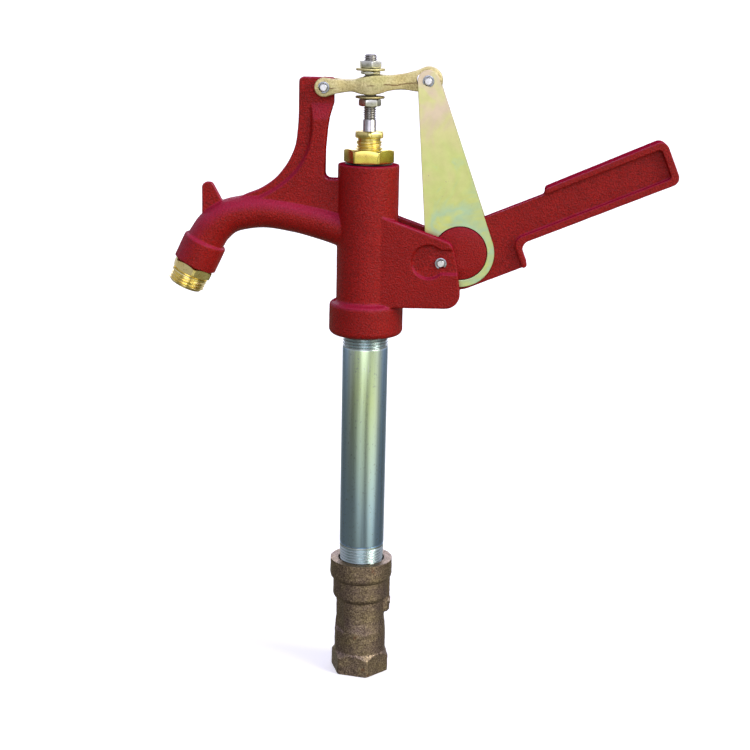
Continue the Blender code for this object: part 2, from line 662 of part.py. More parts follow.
def paint(parts):
    """Give each node its own material; pins and clips are steel."""
    kind_of = {node: kind for kind, nodes in NODE_MATERIALS.items() for node in nodes}
    for solid in parts.objects:
        material = make_material(kind_of.get(solid.name, "steel"))
        material.name = solid.name
        solid.data.materials.clear()
        solid.data.materials.append(material)
        solid.data.shade_smooth()
        solid.data.set_sharp_from_angle(angle=math.radians(35))


def main():
    clear_scene()
    parts = make_collection(PART_NAME)
    guides = make_collection(PART_NAME + "_guides")
    build_riser(parts)
    build_valve_body(parts, guides)
    build_foot_inserts(parts)
    build_head(parts, guides)
    build_nozzle(parts, guides)
    build_stuffing_box(parts, guides)
    build_pin("fulcrum", FULCRUM, 12.4, FORK_OUTER + 0.4, parts)
    build_pin("handle", HANDLE_PIVOT, 18.4, POCKET_FLOOR + 0.4, parts)
    build_pin("link", LINK_TOP, 11.4, LINK_OUTER + 0.4, parts)
    build_handle(parts, guides)
    build_links(parts, guides)
    build_rocker(parts, guides)
    build_rod(parts, guides)
    build_plunger(parts, guides)
    paint(parts)


main()
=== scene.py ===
"""Looks for the yard hydrant: cast, machined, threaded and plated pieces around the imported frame.

Sizes in the shape functions are in millimetres and MM turns them into metres.  +Z is up, +X points
along the handle and -Y is the front, as in the frame.
"""
import math

import bmesh
import bpy
from mathutils import Matrix, Vector, noise


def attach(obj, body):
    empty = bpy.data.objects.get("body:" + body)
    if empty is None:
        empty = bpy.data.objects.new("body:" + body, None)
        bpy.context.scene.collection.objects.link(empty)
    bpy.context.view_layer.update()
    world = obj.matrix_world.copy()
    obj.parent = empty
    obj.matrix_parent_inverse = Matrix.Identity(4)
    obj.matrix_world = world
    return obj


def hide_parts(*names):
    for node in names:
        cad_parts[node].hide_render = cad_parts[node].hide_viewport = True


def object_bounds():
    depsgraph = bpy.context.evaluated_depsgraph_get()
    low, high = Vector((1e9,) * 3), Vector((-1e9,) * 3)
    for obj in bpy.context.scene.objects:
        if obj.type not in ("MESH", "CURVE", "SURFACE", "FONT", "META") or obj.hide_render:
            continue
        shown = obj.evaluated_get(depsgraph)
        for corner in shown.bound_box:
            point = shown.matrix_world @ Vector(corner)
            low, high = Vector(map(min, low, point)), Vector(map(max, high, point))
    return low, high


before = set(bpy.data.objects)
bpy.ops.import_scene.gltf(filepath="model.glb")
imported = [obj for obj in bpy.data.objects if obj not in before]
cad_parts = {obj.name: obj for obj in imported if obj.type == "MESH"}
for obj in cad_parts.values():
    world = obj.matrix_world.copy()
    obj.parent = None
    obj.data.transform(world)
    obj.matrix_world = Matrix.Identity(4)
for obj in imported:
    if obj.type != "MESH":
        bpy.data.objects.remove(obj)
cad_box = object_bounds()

MM = 0.001

# Pivots of the linkage as (x, z), the handle's tilt and the radii of what turns there
FULCRUM = (-32.1, 442.0)
LINK_TOP = (41.4, 448.0)
HANDLE_PIVOT = (54.0, 320.6)
CAM_CENTRE = (67.4, 327.0)
HANDLE_ANGLE = 23.0
CAM_R = 18.9
RING_R = 19.4
PIN_R = 3.175
PIN_HOLE_R = 3.5
LINK_LOW_R = 24.5
LINK_TOP_R = 7.7

# Rocker: the radii of its two ends, and the heights of its boss and its parting line
ROCKER_EYE_R = 6.8
ROCKER_END_R = 9.9
BOSS_HEIGHT = 443.9
SEAM_HEIGHT = 443.7

# Height where the link plates' change of colour starts
PLATE_COLOURS_FROM = 300.0

# The pipe threads, the hose thread and the packing nut share a pitch; the rod's is finer
PIPE_PITCH = 25.4 / 11.5
ROD_PITCH = 25.4 / 16

# Riser and foot; the riser is bare between its two threads
PIPE_R = 16.7
PIPE_BORE_R = 13.3
PIPE_BOTTOM = 68.0
PIPE_TOP = 284.0
PIPE_BARE = (102.4, 254.6)
PIPE_TAPER = 1 / 32
FOOT_TOP = 90.0
FOOT_HEX_TOP = 16.8
FOOT_HEX_FLATS = 39.4
FOOT_HEX_TURN = 18.0
FOOT_WAIST_R = 19.3
FLAT_TURN = 29.0

# Head and rod; each HALF is half a thickness
COLLAR_BOTTOM = 265.6
TUBE_TOP = 388.0
POST_HALF = 4.6
WEB_HALF = 7.7
ROD_R = 4.76
ROD_HOLE_R = ROD_R + 0.3

# Spout
SPOUT_LINE = [(-6, 337.3), (-28, 344.2), (-50, 349.3), (-75, 352.3), (-98, 348.9), (-110.8, 340.4),
              (-117.6, 331)]
SPOUT_RADII = [13.2, 12.8, 12.2, 12.1, 12.5, 13.2, 13.6]
SPOUT_BORE_R = 8.8
SPOUT_TILT = 25.0
MOUTH = (-126.0, 312.6)
MOUTH_COLLAR_R = 15.9

# Detail of meshes: degrees between points of a rounded corner, and facets round a hexagon
ARC_STEP = 8.0
HEX_SEGMENTS = 144

# Share of a hexagon's corner radius that is left, and of its flats' radius where the chamfer starts
HEX_ROUND = 0.985
CHAMFER_START = 0.975

# Studio: the sky fades from its rim to its top, with bright panels; the room below is grey with
# pale cards.  A panel or card is (azimuth from the front, elevation, half width, level).
SKY_TOP = 0.50
SKY_RIM = 0.62
SKY_COLOUR = (0.92, 0.90, 1.15)
SKY_PANELS = [(2, 20, 27, 2.2), (182, 20, 27, 1.7)]
LOW_LEVEL = 0.16
LOW_COLOUR = (1.0, 0.97, 0.78)
LOW_CARDS = [(52, -14, 30, 1.0), (-10, -15, 24, 0.62), (184, -14, 34, 0.6)]
KEY_AZIMUTH = 66
KEY_ELEVATION = 32
KEY_STRENGTH = 1.9
KEY_SPREAD = 30
KEY_COLOUR = (1.0, 0.97, 0.93)
FLOOR_R = 300.0
FLOOR_GAP = 0.4 * MM
FLOOR_GLOW = 0.42

# Slot for the link's pin, along and across the rocker's slope from LINK_TOP
LINK_SLOT_LEFT = -4.91
LINK_SLOT_LEFT_HEIGHTS = (1.54, 0.33)
LINK_SLOT_RIGHT = (2.5, -1.4)
LINK_SLOT_RIGHT_R = 3.9


# ======== outlines

def arc(centre, radius, start, end, steps):
    points = []
    for step in range(steps + 1):
        angle = math.radians(start + (end - start) * step / steps)
        points.append((centre[0] + radius * math.cos(angle), centre[1] + radius * math.sin(angle)))
    return points


def rounded(corners):
    """Outline through corners given as (x, z, radius), each corner turned into an arc."""
    points = []
    for index, (x, z, radius) in enumerate(corners):
        corner = Vector((x, z))
        if radius == 0:
            points.append((x, z))
            continue
        before = (Vector(corners[index - 1][:2]) - corner).normalized()
        after = (Vector(corners[(index + 1) % len(corners)][:2]) - corner).normalized()
        half = before.angle(after) / 2
        centre = corner + (before + after).normalized() * radius / math.sin(half)
        first = corner + before * radius / math.tan(half) - centre
        last = corner + after * radius / math.tan(half) - centre
        start = math.degrees(math.atan2(first.y, first.x))
        sweep = (math.degrees(math.atan2(last.y, last.x)) - start + 180) % 360 - 180
        points += arc(centre, radius, start, start + sweep, max(1, round(abs(sweep) / ARC_STEP)))
    return points


def mirrored(half):
    """Half an outline, then its mirror image backwards."""
    return half + [(first, -second) for first, second in reversed(half)]


def smooth_line(points, steps):
    """Catmull-Rom curve through points of any dimension."""
    line = []
    for index in range(len(points) - 1):
        p1, p2 = Vector(points[index]), Vector(points[index + 1])
        p0 = Vector(points[index - 1]) if index else 2 * p1 - p2
        p3 = Vector(points[index + 2]) if index + 2 < len(points) else 2 * p2 - p1
        for step in range(steps):
            t = step / steps
            line.append(tuple(0.5 * (2 * p1 + (p2 - p0) * t + (2 * p0 - 5 * p1 + 4 * p2 - p3) * t ** 2
                                     + (3 * p1 - p0 - 3 * p2 + p3) * t ** 3)))
    line.append(tuple(points[-1]))
    return line


def hull_of_circles(centre_a, radius_a, centre_b, radius_b, steps):
    """Outline of two circles joined by their outer tangents."""
    offset = Vector(centre_b) - Vector(centre_a)
    heading = math.degrees(math.atan2(offset.y, offset.x))
    lean = math.degrees(math.acos((radius_a - radius_b) / offset.length))
    outline = arc(centre_a, radius_a, heading + lean, heading + 360 - lean, steps)
    outline += arc(centre_b, radius_b, heading - lean, heading + lean, steps // 2)
    return outline


# ======== meshes

def new_object(name, shape):
    """Object from a bmesh, which is freed."""
    mesh = bpy.data.meshes.new(name)
    shape.to_mesh(mesh)
    shape.free()
    solid = bpy.data.objects.new(name, mesh)
    bpy.context.scene.collection.objects.link(solid)
    return solid


def tidy_shape(shape):
    bmesh.ops.remove_doubles(shape, verts=shape.verts, dist=0.000001)
    bmesh.ops.recalc_face_normals(shape, faces=shape.faces)
    return shape


def skin(name, rings, closed):
    """Quads between rings of points; a closed skin joins the last ring to the first."""
    shape = bmesh.new()
    grid = [[shape.verts.new(Vector(point) * MM) for point in ring] for ring in rings]
    pairs = list(zip(grid, grid[1:]))
    if closed:
        pairs.append((grid[-1], grid[0]))
    for lower, upper in pairs:
        for index in range(len(lower)):
            after = (index + 1) % len(lower)
            shape.faces.new((lower[index], lower[after], upper[after], upper[index]))
    if not closed:
        shape.faces.new(list(reversed(grid[0])))
        shape.faces.new(grid[-1])
    return new_object(name, tidy_shape(shape))


def revolve(name, rows, segments=96, phase=0.0, closed=True):
    """Spin rows about Z; a row is (radius, z), or a function of the angle that gives them."""
    angles = [math.radians(phase) + 2 * math.pi * index / segments for index in range(segments)]
    rings = []
    for row in rows:
        ring = []
        for angle in angles:
            radius, z = row(angle) if callable(row) else row
            ring.append((radius * math.cos(angle), radius * math.sin(angle), z))
        rings.append(ring)
    return skin(name, rings, closed)


def slab(name, outline, near, far):
    """Outline in the XZ plane filled from y = near to y = far."""
    shape = bmesh.new()
    walls = [[shape.verts.new(Vector((x, y, z)) * MM) for x, z in outline] for y in (near, far)]
    for index in range(len(outline)):
        after = (index + 1) % len(outline)
        shape.faces.new((walls[0][index], walls[0][after], walls[1][after], walls[1][index]))
    shape.faces.new(walls[0])
    shape.faces.new(list(reversed(walls[1])))
    return new_object(name, tidy_shape(shape))


def cylinder(name, radius, length, centre, axis=(0, 0, 1), segments=96):
    shape = bmesh.new()
    turn = Vector((0, 0, 1)).rotation_difference(Vector(axis)).to_matrix().to_4x4()
    place = Matrix.Translation(Vector(centre) * MM) @ turn
    bmesh.ops.create_cone(shape, cap_ends=True, segments=segments, radius1=radius * MM,
                          radius2=radius * MM, depth=length * MM, matrix=place)
    return new_object(name, shape)


def block(name, low, high, turn_z=0.0):
    shape = bmesh.new()
    size = [(b - a) * MM for a, b in zip(low, high)]
    middle = Vector([(a + b) / 2 for a, b in zip(low, high)]) * MM
    bmesh.ops.create_cube(shape, size=1.0)
    bmesh.ops.scale(shape, vec=size, verts=shape.verts)
    spin = Matrix.Rotation(math.radians(turn_z), 4, "Z")
    bmesh.ops.transform(shape, matrix=spin @ Matrix.Translation(middle), verts=shape.verts)
    return new_object(name, shape)


def cross_hole(pivot, radius, length, segments=48):
    """Cutter along Y through a pivot."""
    return cylinder("hole", radius, length, (pivot[0], 0, pivot[1]), (0, 1, 0), segments)


def move_to(solid, pivot, axis, degrees):
    """Turn a shape about the origin and carry it to a pivot."""
    place = Matrix.Translation(Vector((pivot[0], 0, pivot[1])) * MM)
    solid.data.transform(place @ Matrix.Rotation(math.radians(degrees), 4, axis))
    return solid


def tube_along(name, line, radii, sides=48):
    """Round bar of changing radius along a line in the XZ plane."""
    rings = []
    for index, (x, z) in enumerate(line):
        before = Vector(line[max(index - 1, 0)])
        after = Vector(line[min(index + 1, len(line) - 1)])
        along = (after - before).normalized()
        across = Vector((-along.y, along.x))
        ring = []
        for side in range(sides):
            angle = 2 * math.pi * side / sides
            offset = across * (radii[index] * math.cos(angle))
            ring.append((x + offset.x, radii[index] * math.sin(angle), z + offset.y))
        rings.append(ring)
    return skin(name, rings, closed=False)


def bake_modifiers(solid):
    """Apply every modifier to the object's own mesh."""
    bpy.context.view_layer.update()
    graph = bpy.context.evaluated_depsgraph_get()
    mesh = bpy.data.meshes.new_from_object(solid.evaluated_get(graph))
    old = solid.data
    solid.modifiers.clear()
    solid.data = mesh
    bpy.data.meshes.remove(old)
    return solid


def discard(*solids):
    for solid in solids:
        mesh = solid.data
        bpy.data.objects.remove(solid, do_unlink=True)
        bpy.data.meshes.remove(mesh)


def boolean(target, operation, *tools):
    for tool in tools:
        modifier = target.modifiers.new("Boolean", "BOOLEAN")
        modifier.operation = operation
        modifier.object = tool
    bake_modifiers(target)
    discard(*tools)
    return target


def merge(name, *solids):
    """One mesh holding several overlapping closed shapes."""
    shape = bmesh.new()
    for solid in solids:
        shape.from_mesh(solid.data)
    discard(*solids)
    return new_object(name, shape)


def cast(name, voxel, passes, keep, *solids):
    """Melt overlapping shapes into one casting with soft fillets, and keep a share of its faces."""
    casting = merge(name, *solids)
    remesh = casting.modifiers.new("Remesh", "REMESH")
    remesh.mode = "VOXEL"
    remesh.voxel_size = voxel * 1.0 * MM
    soften = casting.modifiers.new("Soften", "SMOOTH")
    soften.factor = 0.5
    soften.iterations = passes
    bake_modifiers(casting)
    thin = casting.modifiers.new("Thin", "DECIMATE")
    thin.ratio = keep
    return bake_modifiers(casting)


def roughen(solid, coarse, fine, coarse_size, fine_size):
    """Push the surface in and out along its normals by two sizes of noise, in millimetres."""
    mesh = solid.data
    apart = Vector((9, 4, 7))
    moved = []
    for vertex in mesh.vertices:
        place = vertex.co / MM
        push = coarse * noise.noise(place / coarse_size) + fine * noise.noise(place / fine_size + apart)
        moved.append(vertex.co + vertex.normal * push * MM)
    for vertex, place in zip(mesh.vertices, moved):
        vertex.co = place
    mesh.update()
    return solid


def bevel(solid, width, segments, angle):
    modifier = solid.modifiers.new("Bevel", "BEVEL")
    modifier.width = width * MM
    modifier.segments = segments
    modifier.limit_method = "ANGLE"
    modifier.angle_limit = math.radians(angle)
    return bake_modifiers(solid)


def smooth_shade(solid, angle):
    """Smooth shading, but for edges sharper than an angle in degrees."""
    solid.data.shade_smooth()
    solid.data.set_sharp_from_angle(angle=math.radians(angle))
    return solid


# ======== turned details

def thread_rows(crest, depth, top, bottom, pitch, taper=0.0, per_turn=8, fade_top=True, fade_bottom=False):
    """Rows down a helical thread; it runs out over a turn where it fades."""
    count = max(2, round((top - bottom) / pitch * per_turn))
    rows = []
    for index in range(count + 1):
        z = top + (bottom - top) * index / count

        def row(angle, z=z):
            turn = (z / pitch - angle / (2 * math.pi)) % 1.0
            groove = min(max(abs(2 * turn - 1) * 1.3 - 0.12, 0.0), 1.0)
            fade = 1.0
            if fade_top:
                fade *= min((top - z) / (1.2 * pitch), 1.0)
            if fade_bottom:
                fade *= min((z - bottom) / (0.6 * pitch), 1.0)
            return crest - taper * (top - z) - depth * (1 - groove) * fade, z
        rows.append(row)
    return rows


def hex_radius(across_flats, turn, angle):
    """Distance to a hexagon's wall at an angle; corners point at 30 + turn, 90 + turn, ..."""
    local = (math.degrees(angle) - turn) % 60 - 30
    wall = across_flats / 2 / math.cos(math.radians(30 - abs(local)))
    return min(wall, across_flats / math.sqrt(3) * HEX_ROUND)


def hexagon_wall(across_flats, turn, chamfer_start, slope, height):
    """Row function for the edge where a cone cuts a hexagon's wall, from a face's height."""
    def row(angle):
        radius = hex_radius(across_flats, turn, angle)
        return radius, height - slope * max(radius - chamfer_start, 0.0)
    return row


def hexagon_rows(across_flats, turn, top, bottom, chamfer_top=0.577, chamfer_bottom=0.577):
    """Rows from the rim of the top face down a chamfered hexagon to the rim of its bottom face."""
    start = across_flats / 2 * CHAMFER_START
    return [(start, top),
            hexagon_wall(across_flats, turn, start, chamfer_top, top),
            hexagon_wall(across_flats, turn, start, -chamfer_bottom, bottom),
            (start, bottom)]


def nut(name, across_flats, turn, top, bottom):
    lip = 0.5
    rows = [(ROD_HOLE_R, top - lip), (ROD_HOLE_R + lip, top)]
    rows += hexagon_rows(across_flats, turn, top, bottom)
    rows += [(ROD_HOLE_R + lip, bottom), (ROD_HOLE_R, bottom + lip)]
    return smooth_shade(bevel(revolve(name, rows, HEX_SEGMENTS, phase=turn + 30), 0.12, 2, 25), 30)


def washer(name, outer, inner, top, bottom):
    edge = 0.35
    rows = [(inner, top - edge), (inner + edge, top), (outer - edge, top), (outer, top - edge),
            (outer, bottom + edge), (outer - edge, bottom), (inner + edge, bottom), (inner, bottom + edge)]
    return smooth_shade(revolve(name, rows), 50)


def along_spout(distance):
    tilt = math.radians(SPOUT_TILT)
    return MOUTH[0] + distance * math.sin(tilt), MOUTH[1] + distance * math.cos(tilt)


def move_to_spout(solid):
    """Take a shape built about Z, with the mouth at zero, to the spout's mouth."""
    return move_to(solid, MOUTH, "Y", SPOUT_TILT)


# ======== materials

class Nodes:
    """Short way to wire a node tree."""

    def __init__(self, tree, coordinates):
        self.tree = tree
        self.place = self.add("ShaderNodeTexCoord").outputs[coordinates]

    def add(self, kind, **values):
        node = self.tree.nodes.new(kind)
        for key, value in values.items():
            setattr(node, key, value)
        return node

    def link(self, output, target):
        self.tree.links.new(output, target)

    def feed(self, value, socket):
        """Link an output to a socket, or set the socket's own value; a tuple is a colour."""
        if isinstance(value, bpy.types.NodeSocket):
            self.link(value, socket)
        elif isinstance(value, tuple):
            socket.default_value = (*value, 1.0)
        else:
            socket.default_value = value

    def scaled(self, x, y, z):
        """Coordinates stretched along each axis, for streaks and brush marks."""
        mapping = self.add("ShaderNodeMapping")
        mapping.inputs["Scale"].default_value = (x, y, z)
        self.link(self.place, mapping.inputs["Vector"])
        return mapping.outputs["Vector"]

    def noise(self, scale, detail, rough, vector=None, distortion=0.0):
        node = self.add("ShaderNodeTexNoise")
        node.inputs["Scale"].default_value = scale
        node.inputs["Detail"].default_value = detail
        node.inputs["Roughness"].default_value = rough
        node.inputs["Distortion"].default_value = distortion
        self.link(vector or self.place, node.inputs["Vector"])
        return node.outputs["Fac"]

    def cells(self, scale, vector):
        node = self.add("ShaderNodeTexVoronoi")
        node.inputs["Scale"].default_value = scale
        self.link(vector, node.inputs["Vector"])
        return node.outputs["Distance"]

    def ramp(self, value, stops):
        """Colour ramp; stops are (position, colour or grey)."""
        node = self.add("ShaderNodeValToRGB")
        elements = node.color_ramp.elements
        while len(elements) < len(stops):
            elements.new(1.0)
        for element, (position, colour) in zip(elements, stops):
            element.position = position
            rgb = colour if isinstance(colour, tuple) else (colour,) * 3
            element.color = (*rgb, 1.0)
        self.link(value, node.inputs["Fac"])
        return node.outputs["Color"]

    def mask(self, value, low, high):
        """Black below one value, white above another."""
        return self.ramp(value, [(low, 0.0), (high, 1.0)])

    def mix(self, factor, first, second, blend="MIX"):
        node = self.add("ShaderNodeMix", data_type="RGBA", blend_type=blend)
        for value, index in ((factor, 0), (first, 6), (second, 7)):
            self.feed(value, node.inputs[index])
        return node.outputs[2]

    def darken(self, colour, value, stops, amount=1.0):
        """Multiply a colour by a ramp over a value."""
        return self.mix(amount, colour, self.ramp(value, stops), "MULTIPLY")

    def math(self, operation, first, second=0.0):
        node = self.add("ShaderNodeMath", operation=operation)
        for value, socket in zip((first, second), node.inputs):
            self.feed(value, socket)
        return node.outputs[0]

    def swing(self, value, amount):
        """Plus or minus half an amount, from a value between 0 and 1."""
        return self.math("MULTIPLY", self.math("SUBTRACT", value, 0.5), amount)

    def soft_step(self, value, low, high):
        node = self.add("ShaderNodeMapRange", interpolation_type="SMOOTHSTEP")
        self.link(value, node.inputs["Value"])
        node.inputs["From Min"].default_value = low
        node.inputs["From Max"].default_value = high
        return node.outputs["Result"]

    def axis(self, name, vector=None):
        split = self.add("ShaderNodeSeparateXYZ")
        self.link(vector or self.place, split.inputs["Vector"])
        return split.outputs[name]


class Surface(Nodes):
    """Nodes of a new material, around its own shader."""

    def __init__(self, name):
        self.material = bpy.data.materials.new(name)
        self.material.use_nodes = True
        super().__init__(self.material.node_tree, "Object")
        self.shader = self.tree.nodes["Principled BSDF"]

    def edges(self, low, high):
        """Bright on sharp convex edges, from the mesh's own pointiness."""
        geometry = self.add("ShaderNodeNewGeometry")
        return self.mask(geometry.outputs["Pointiness"], low, high)

    def bump(self, heights):
        """Chain bumps given as (height, strength, distance in millimetres)."""
        normal = None
        for height, strength, distance in heights:
            node = self.add("ShaderNodeBump")
            node.inputs["Strength"].default_value = strength
            node.inputs["Distance"].default_value = distance * MM
            self.link(height, node.inputs["Height"])
            if normal is not None:
                self.link(normal, node.inputs["Normal"])
            normal = node.outputs["Normal"]
        self.link(normal, self.shader.inputs["Normal"])

    def set(self, **values):
        for key, value in values.items():
            self.feed(value, self.shader.inputs[key.replace("_", " ")])
        return self.material


def red_paint():
    """Red enamel over rough iron: dark flecks of painted shade for its dimples, paler on edges, and a
    painted purple sheen where it faces up.
    """
    n = Surface("red_paint")
    peel = n.noise(850, 2.0, 0.6)
    flecks = n.noise(1150, 2.0, 0.6)
    grain = n.noise(1900, 2.0, 0.6)
    broad = n.noise(60, 3.0, 0.5)
    base = n.ramp(broad, [(0.3, (0.31, 0.0045, 0.0030)), (0.7, (0.37, 0.0055, 0.0038))])
    # Painted shade: dark flecks stand in for the shade in the dimples of the rough surface.
    dimple_shade = n.mask(flecks, 0.40, 0.56)
    colour = n.mix(dimple_shade, (0.17, 0.0025, 0.002), base)
    worn = n.math("MULTIPLY", n.edges(0.53, 0.60), 0.30)
    colour = n.mix(worn, colour, (0.50, 0.03, 0.04))
    n.bump([(peel, 1.0, 0.85), (grain, 0.5, 0.16)])
    rough = n.ramp(peel, [(0.3, 0.46), (0.7, 0.32)])
    facing = n.add("ShaderNodeLayerWeight").outputs["Facing"]
    gloss = n.ramp(facing, [(0.50, 0.34), (0.80, 0.0)])
    # Painted sheen: faces that turn up get a purple colour and a bluer specular tint, standing in for a
    # reflection of the sky.
    slope = n.axis("Z", n.add("ShaderNodeNewGeometry").outputs["Normal"])
    upward_sheen = n.mask(slope, 0.08, 0.55)
    colour = n.mix(n.math("MULTIPLY", upward_sheen, 0.75), colour, (0.36, 0.010, 0.042))
    sheen = n.mix(upward_sheen, (1.0, 0.68, 0.64), (0.95, 0.62, 1.0))
    return n.set(Base_Color=colour, Roughness=rough, Specular_Tint=sheen, Specular_IOR_Level=gloss)


def galvanized():
    """Smooth zinc coat with faint drawn streaks, and painted reflection: greenish where it faces out, bluer
    at the edges.
    """
    n = Surface("galvanized")
    streaks = n.noise(1.0, 4.0, 0.6, n.scaled(420, 420, 7))
    broad_streaks = n.noise(1.0, 2.0, 0.5, n.scaled(95, 95, 3))
    spangle = n.cells(150, n.scaled(1, 1, 0.6))
    # Painted reflection: the colour follows how squarely the surface faces the view, greenish face-on and
    # bluer at the edges, and bluer towards the bottom.
    facing = n.add("ShaderNodeLayerWeight").outputs["Facing"]
    wander = n.math("ADD", facing, n.swing(broad_streaks, 0.5))
    reflection_above = n.ramp(wander, [(0.08, (0.62, 0.78, 0.44)), (0.26, (0.62, 0.76, 0.62)),
                           (0.50, (0.46, 0.70, 0.98))])
    reflection_below = n.ramp(wander, [(0.10, (0.50, 0.71, 0.88)), (0.50, (0.42, 0.64, 0.96))])
    height = n.math("ADD", n.axis("Z"), n.swing(broad_streaks, 0.08))
    tint = n.mix(n.mask(n.math("MULTIPLY", height, 2.0), 0.26, 0.44), reflection_below, reflection_above)
    from_middle = n.math("ABSOLUTE", n.math("SUBTRACT", n.axis("Z"), sum(PIPE_BARE) / 2 * MM))
    threads = n.mask(n.math("MULTIPLY", from_middle, 10.0), 0.755, 0.765)
    tint = n.mix(threads, tint, (0.52, 0.63, 0.60))
    scratches = n.mask(n.noise(1.0, 2.0, 0.5, n.scaled(900, 900, 60)), 0.68, 0.72)
    tint = n.mix(n.math("MULTIPLY", scratches, 0.4), tint, (0.85, 0.90, 0.92))
    colour = n.darken(tint, streaks, [(0.3, 0.84), (0.7, 1.0)])
    pits = n.mask(n.noise(420, 3.0, 0.7), 0.32, 0.40)
    colour = n.mix(n.math("ADD", n.math("MULTIPLY", pits, 0.5), 0.5), (0.22, 0.28, 0.30), colour)
    rough = n.ramp(streaks, [(0.2, 0.24), (0.8, 0.36)])
    n.bump([(streaks, 0.10, 0.05), (spangle, 0.05, 0.05)])
    return n.set(Base_Color=colour, Metallic=1.0, Roughness=rough)


def cast_bronze():
    """Sand-cast bronze: brown skin with fine grains of yellow metal, and a machined top ring."""
    n = Surface("cast_bronze")
    grain = n.noise(950, 4.0, 0.7)
    blotch = n.noise(70, 4.0, 0.6)
    colour = n.ramp(grain, [(0.32, (0.055, 0.04, 0.038)), (0.50, (0.25, 0.20, 0.15)),
                            (0.70, (0.58, 0.49, 0.36))])
    colour = n.darken(colour, blotch, [(0.35, (0.80, 0.72, 0.76)), (0.65, (1.0, 0.95, 0.76))])
    rust = n.mask(n.noise(130, 2.0, 0.5), 0.70, 0.78)
    colour = n.mix(n.math("MULTIPLY", rust, 0.5), colour, (0.24, 0.08, 0.03))
    worn = n.math("MULTIPLY", n.edges(0.54, 0.62), 0.5)
    colour = n.mix(worn, colour, (0.60, 0.50, 0.36))
    machined = n.mask(n.math("SUBTRACT", n.axis("Z"), (FOOT_TOP - 0.4) * MM), 0.0, 0.0002)
    turned = n.add("ShaderNodeTexWave", wave_type="RINGS", rings_direction="Z")
    turned.inputs["Scale"].default_value = 420
    turned.inputs["Distortion"].default_value = 1.5
    n.link(n.place, turned.inputs["Vector"])
    rings = n.ramp(turned.outputs["Fac"], [(0.2, (0.30, 0.21, 0.07)), (0.8, (0.56, 0.43, 0.16))])
    colour = n.mix(machined, colour, rings)
    rough = n.mix(machined, n.ramp(grain, [(0.3, 0.54), (0.7, 0.32)]), (0.30, 0.30, 0.30))
    n.bump([(grain, 0.7, 0.30), (blotch, 0.3, 0.5)])
    return n.set(Base_Color=colour, Metallic=0.85, Roughness=rough)


def brass(name, polish, bright, dull):
    """Machined brass with fine tool marks round the axis and slight tarnish."""
    n = Surface(name)
    marks = n.noise(1.0, 3.0, 0.6, n.scaled(150, 150, 2600))
    tarnish = n.noise(160, 4.0, 0.6)
    colour = n.ramp(tarnish, [(0.32, dull), (0.60, bright)])
    specks = n.mask(n.noise(700, 2.0, 0.5), 0.27, 0.33)
    colour = n.mix(specks, tuple(level * 0.4 for level in dull), colour)
    rough = n.ramp(marks, [(0.2, polish), (0.8, polish + 0.12)])
    n.bump([(marks, 0.18, 0.05), (tarnish, 0.08, 0.1)])
    return n.set(Base_Color=colour, Metallic=1.0, Roughness=rough)


def chromate_cast():
    """Yellow chromate over a rough casting with a broken parting line, and painted shade that darkens it
    below the line.
    """
    n = Surface("cast_chromate")
    grain = n.noise(800, 4.0, 0.7)
    cloud = n.noise(95, 4.0, 0.6)
    drift = n.noise(30, 2.0, 0.5, distortion=0.6)
    colour = n.ramp(drift, [(0.35, (0.76, 0.67, 0.33)), (0.50, (0.82, 0.76, 0.43)),
                            (0.65, (0.74, 0.73, 0.36))])
    colour = n.darken(colour, cloud, [(0.35, (0.78, 0.75, 0.64)), (0.65, (1.0, 0.99, 0.95))], 0.5)
    colour = n.darken(colour, grain, [(0.30, (0.46, 0.36, 0.18)), (0.54, (1.0, 0.97, 0.86))], 0.6)
    # Painted shade: the colour darkens below the parting line, where the lower half's drafted faces turn
    # down.
    level = n.math("SUBTRACT", n.axis("Z"), n.math("MULTIPLY", n.axis("X"), 0.08))
    above_seam = n.math("SUBTRACT", n.math("ADD", level, n.swing(cloud, 0.0040)), SEAM_HEIGHT * MM)
    height = n.math("ADD", n.math("MULTIPLY", above_seam, 200.0), 0.5)
    colour = n.darken(colour, height, [(0.1, 0.76), (0.9, 1.0)])
    offset = n.math("MULTIPLY", n.math("ABSOLUTE", above_seam), 1000.0)
    seam = n.ramp(offset, [(0.25, 1.0), (0.70, 0.0)])
    from_middle = n.math("MULTIPLY", n.math("ABSOLUTE", n.axis("Y")), 100.0)
    outside = n.mask(from_middle, 0.48, 0.52)
    patches = n.mask(n.noise(75, 2.0, 0.5), 0.44, 0.56)
    seam = n.math("MULTIPLY", n.math("MULTIPLY", seam, outside), n.math("MULTIPLY", patches, 0.85))
    colour = n.mix(seam, colour, (0.20, 0.12, 0.05))
    rough = n.ramp(grain, [(0.3, 0.60), (0.7, 0.40)])
    n.bump([(grain, 0.6, 0.25), (cloud, 0.35, 0.5)])
    return n.set(Base_Color=colour, Metallic=0.9, Roughness=rough)


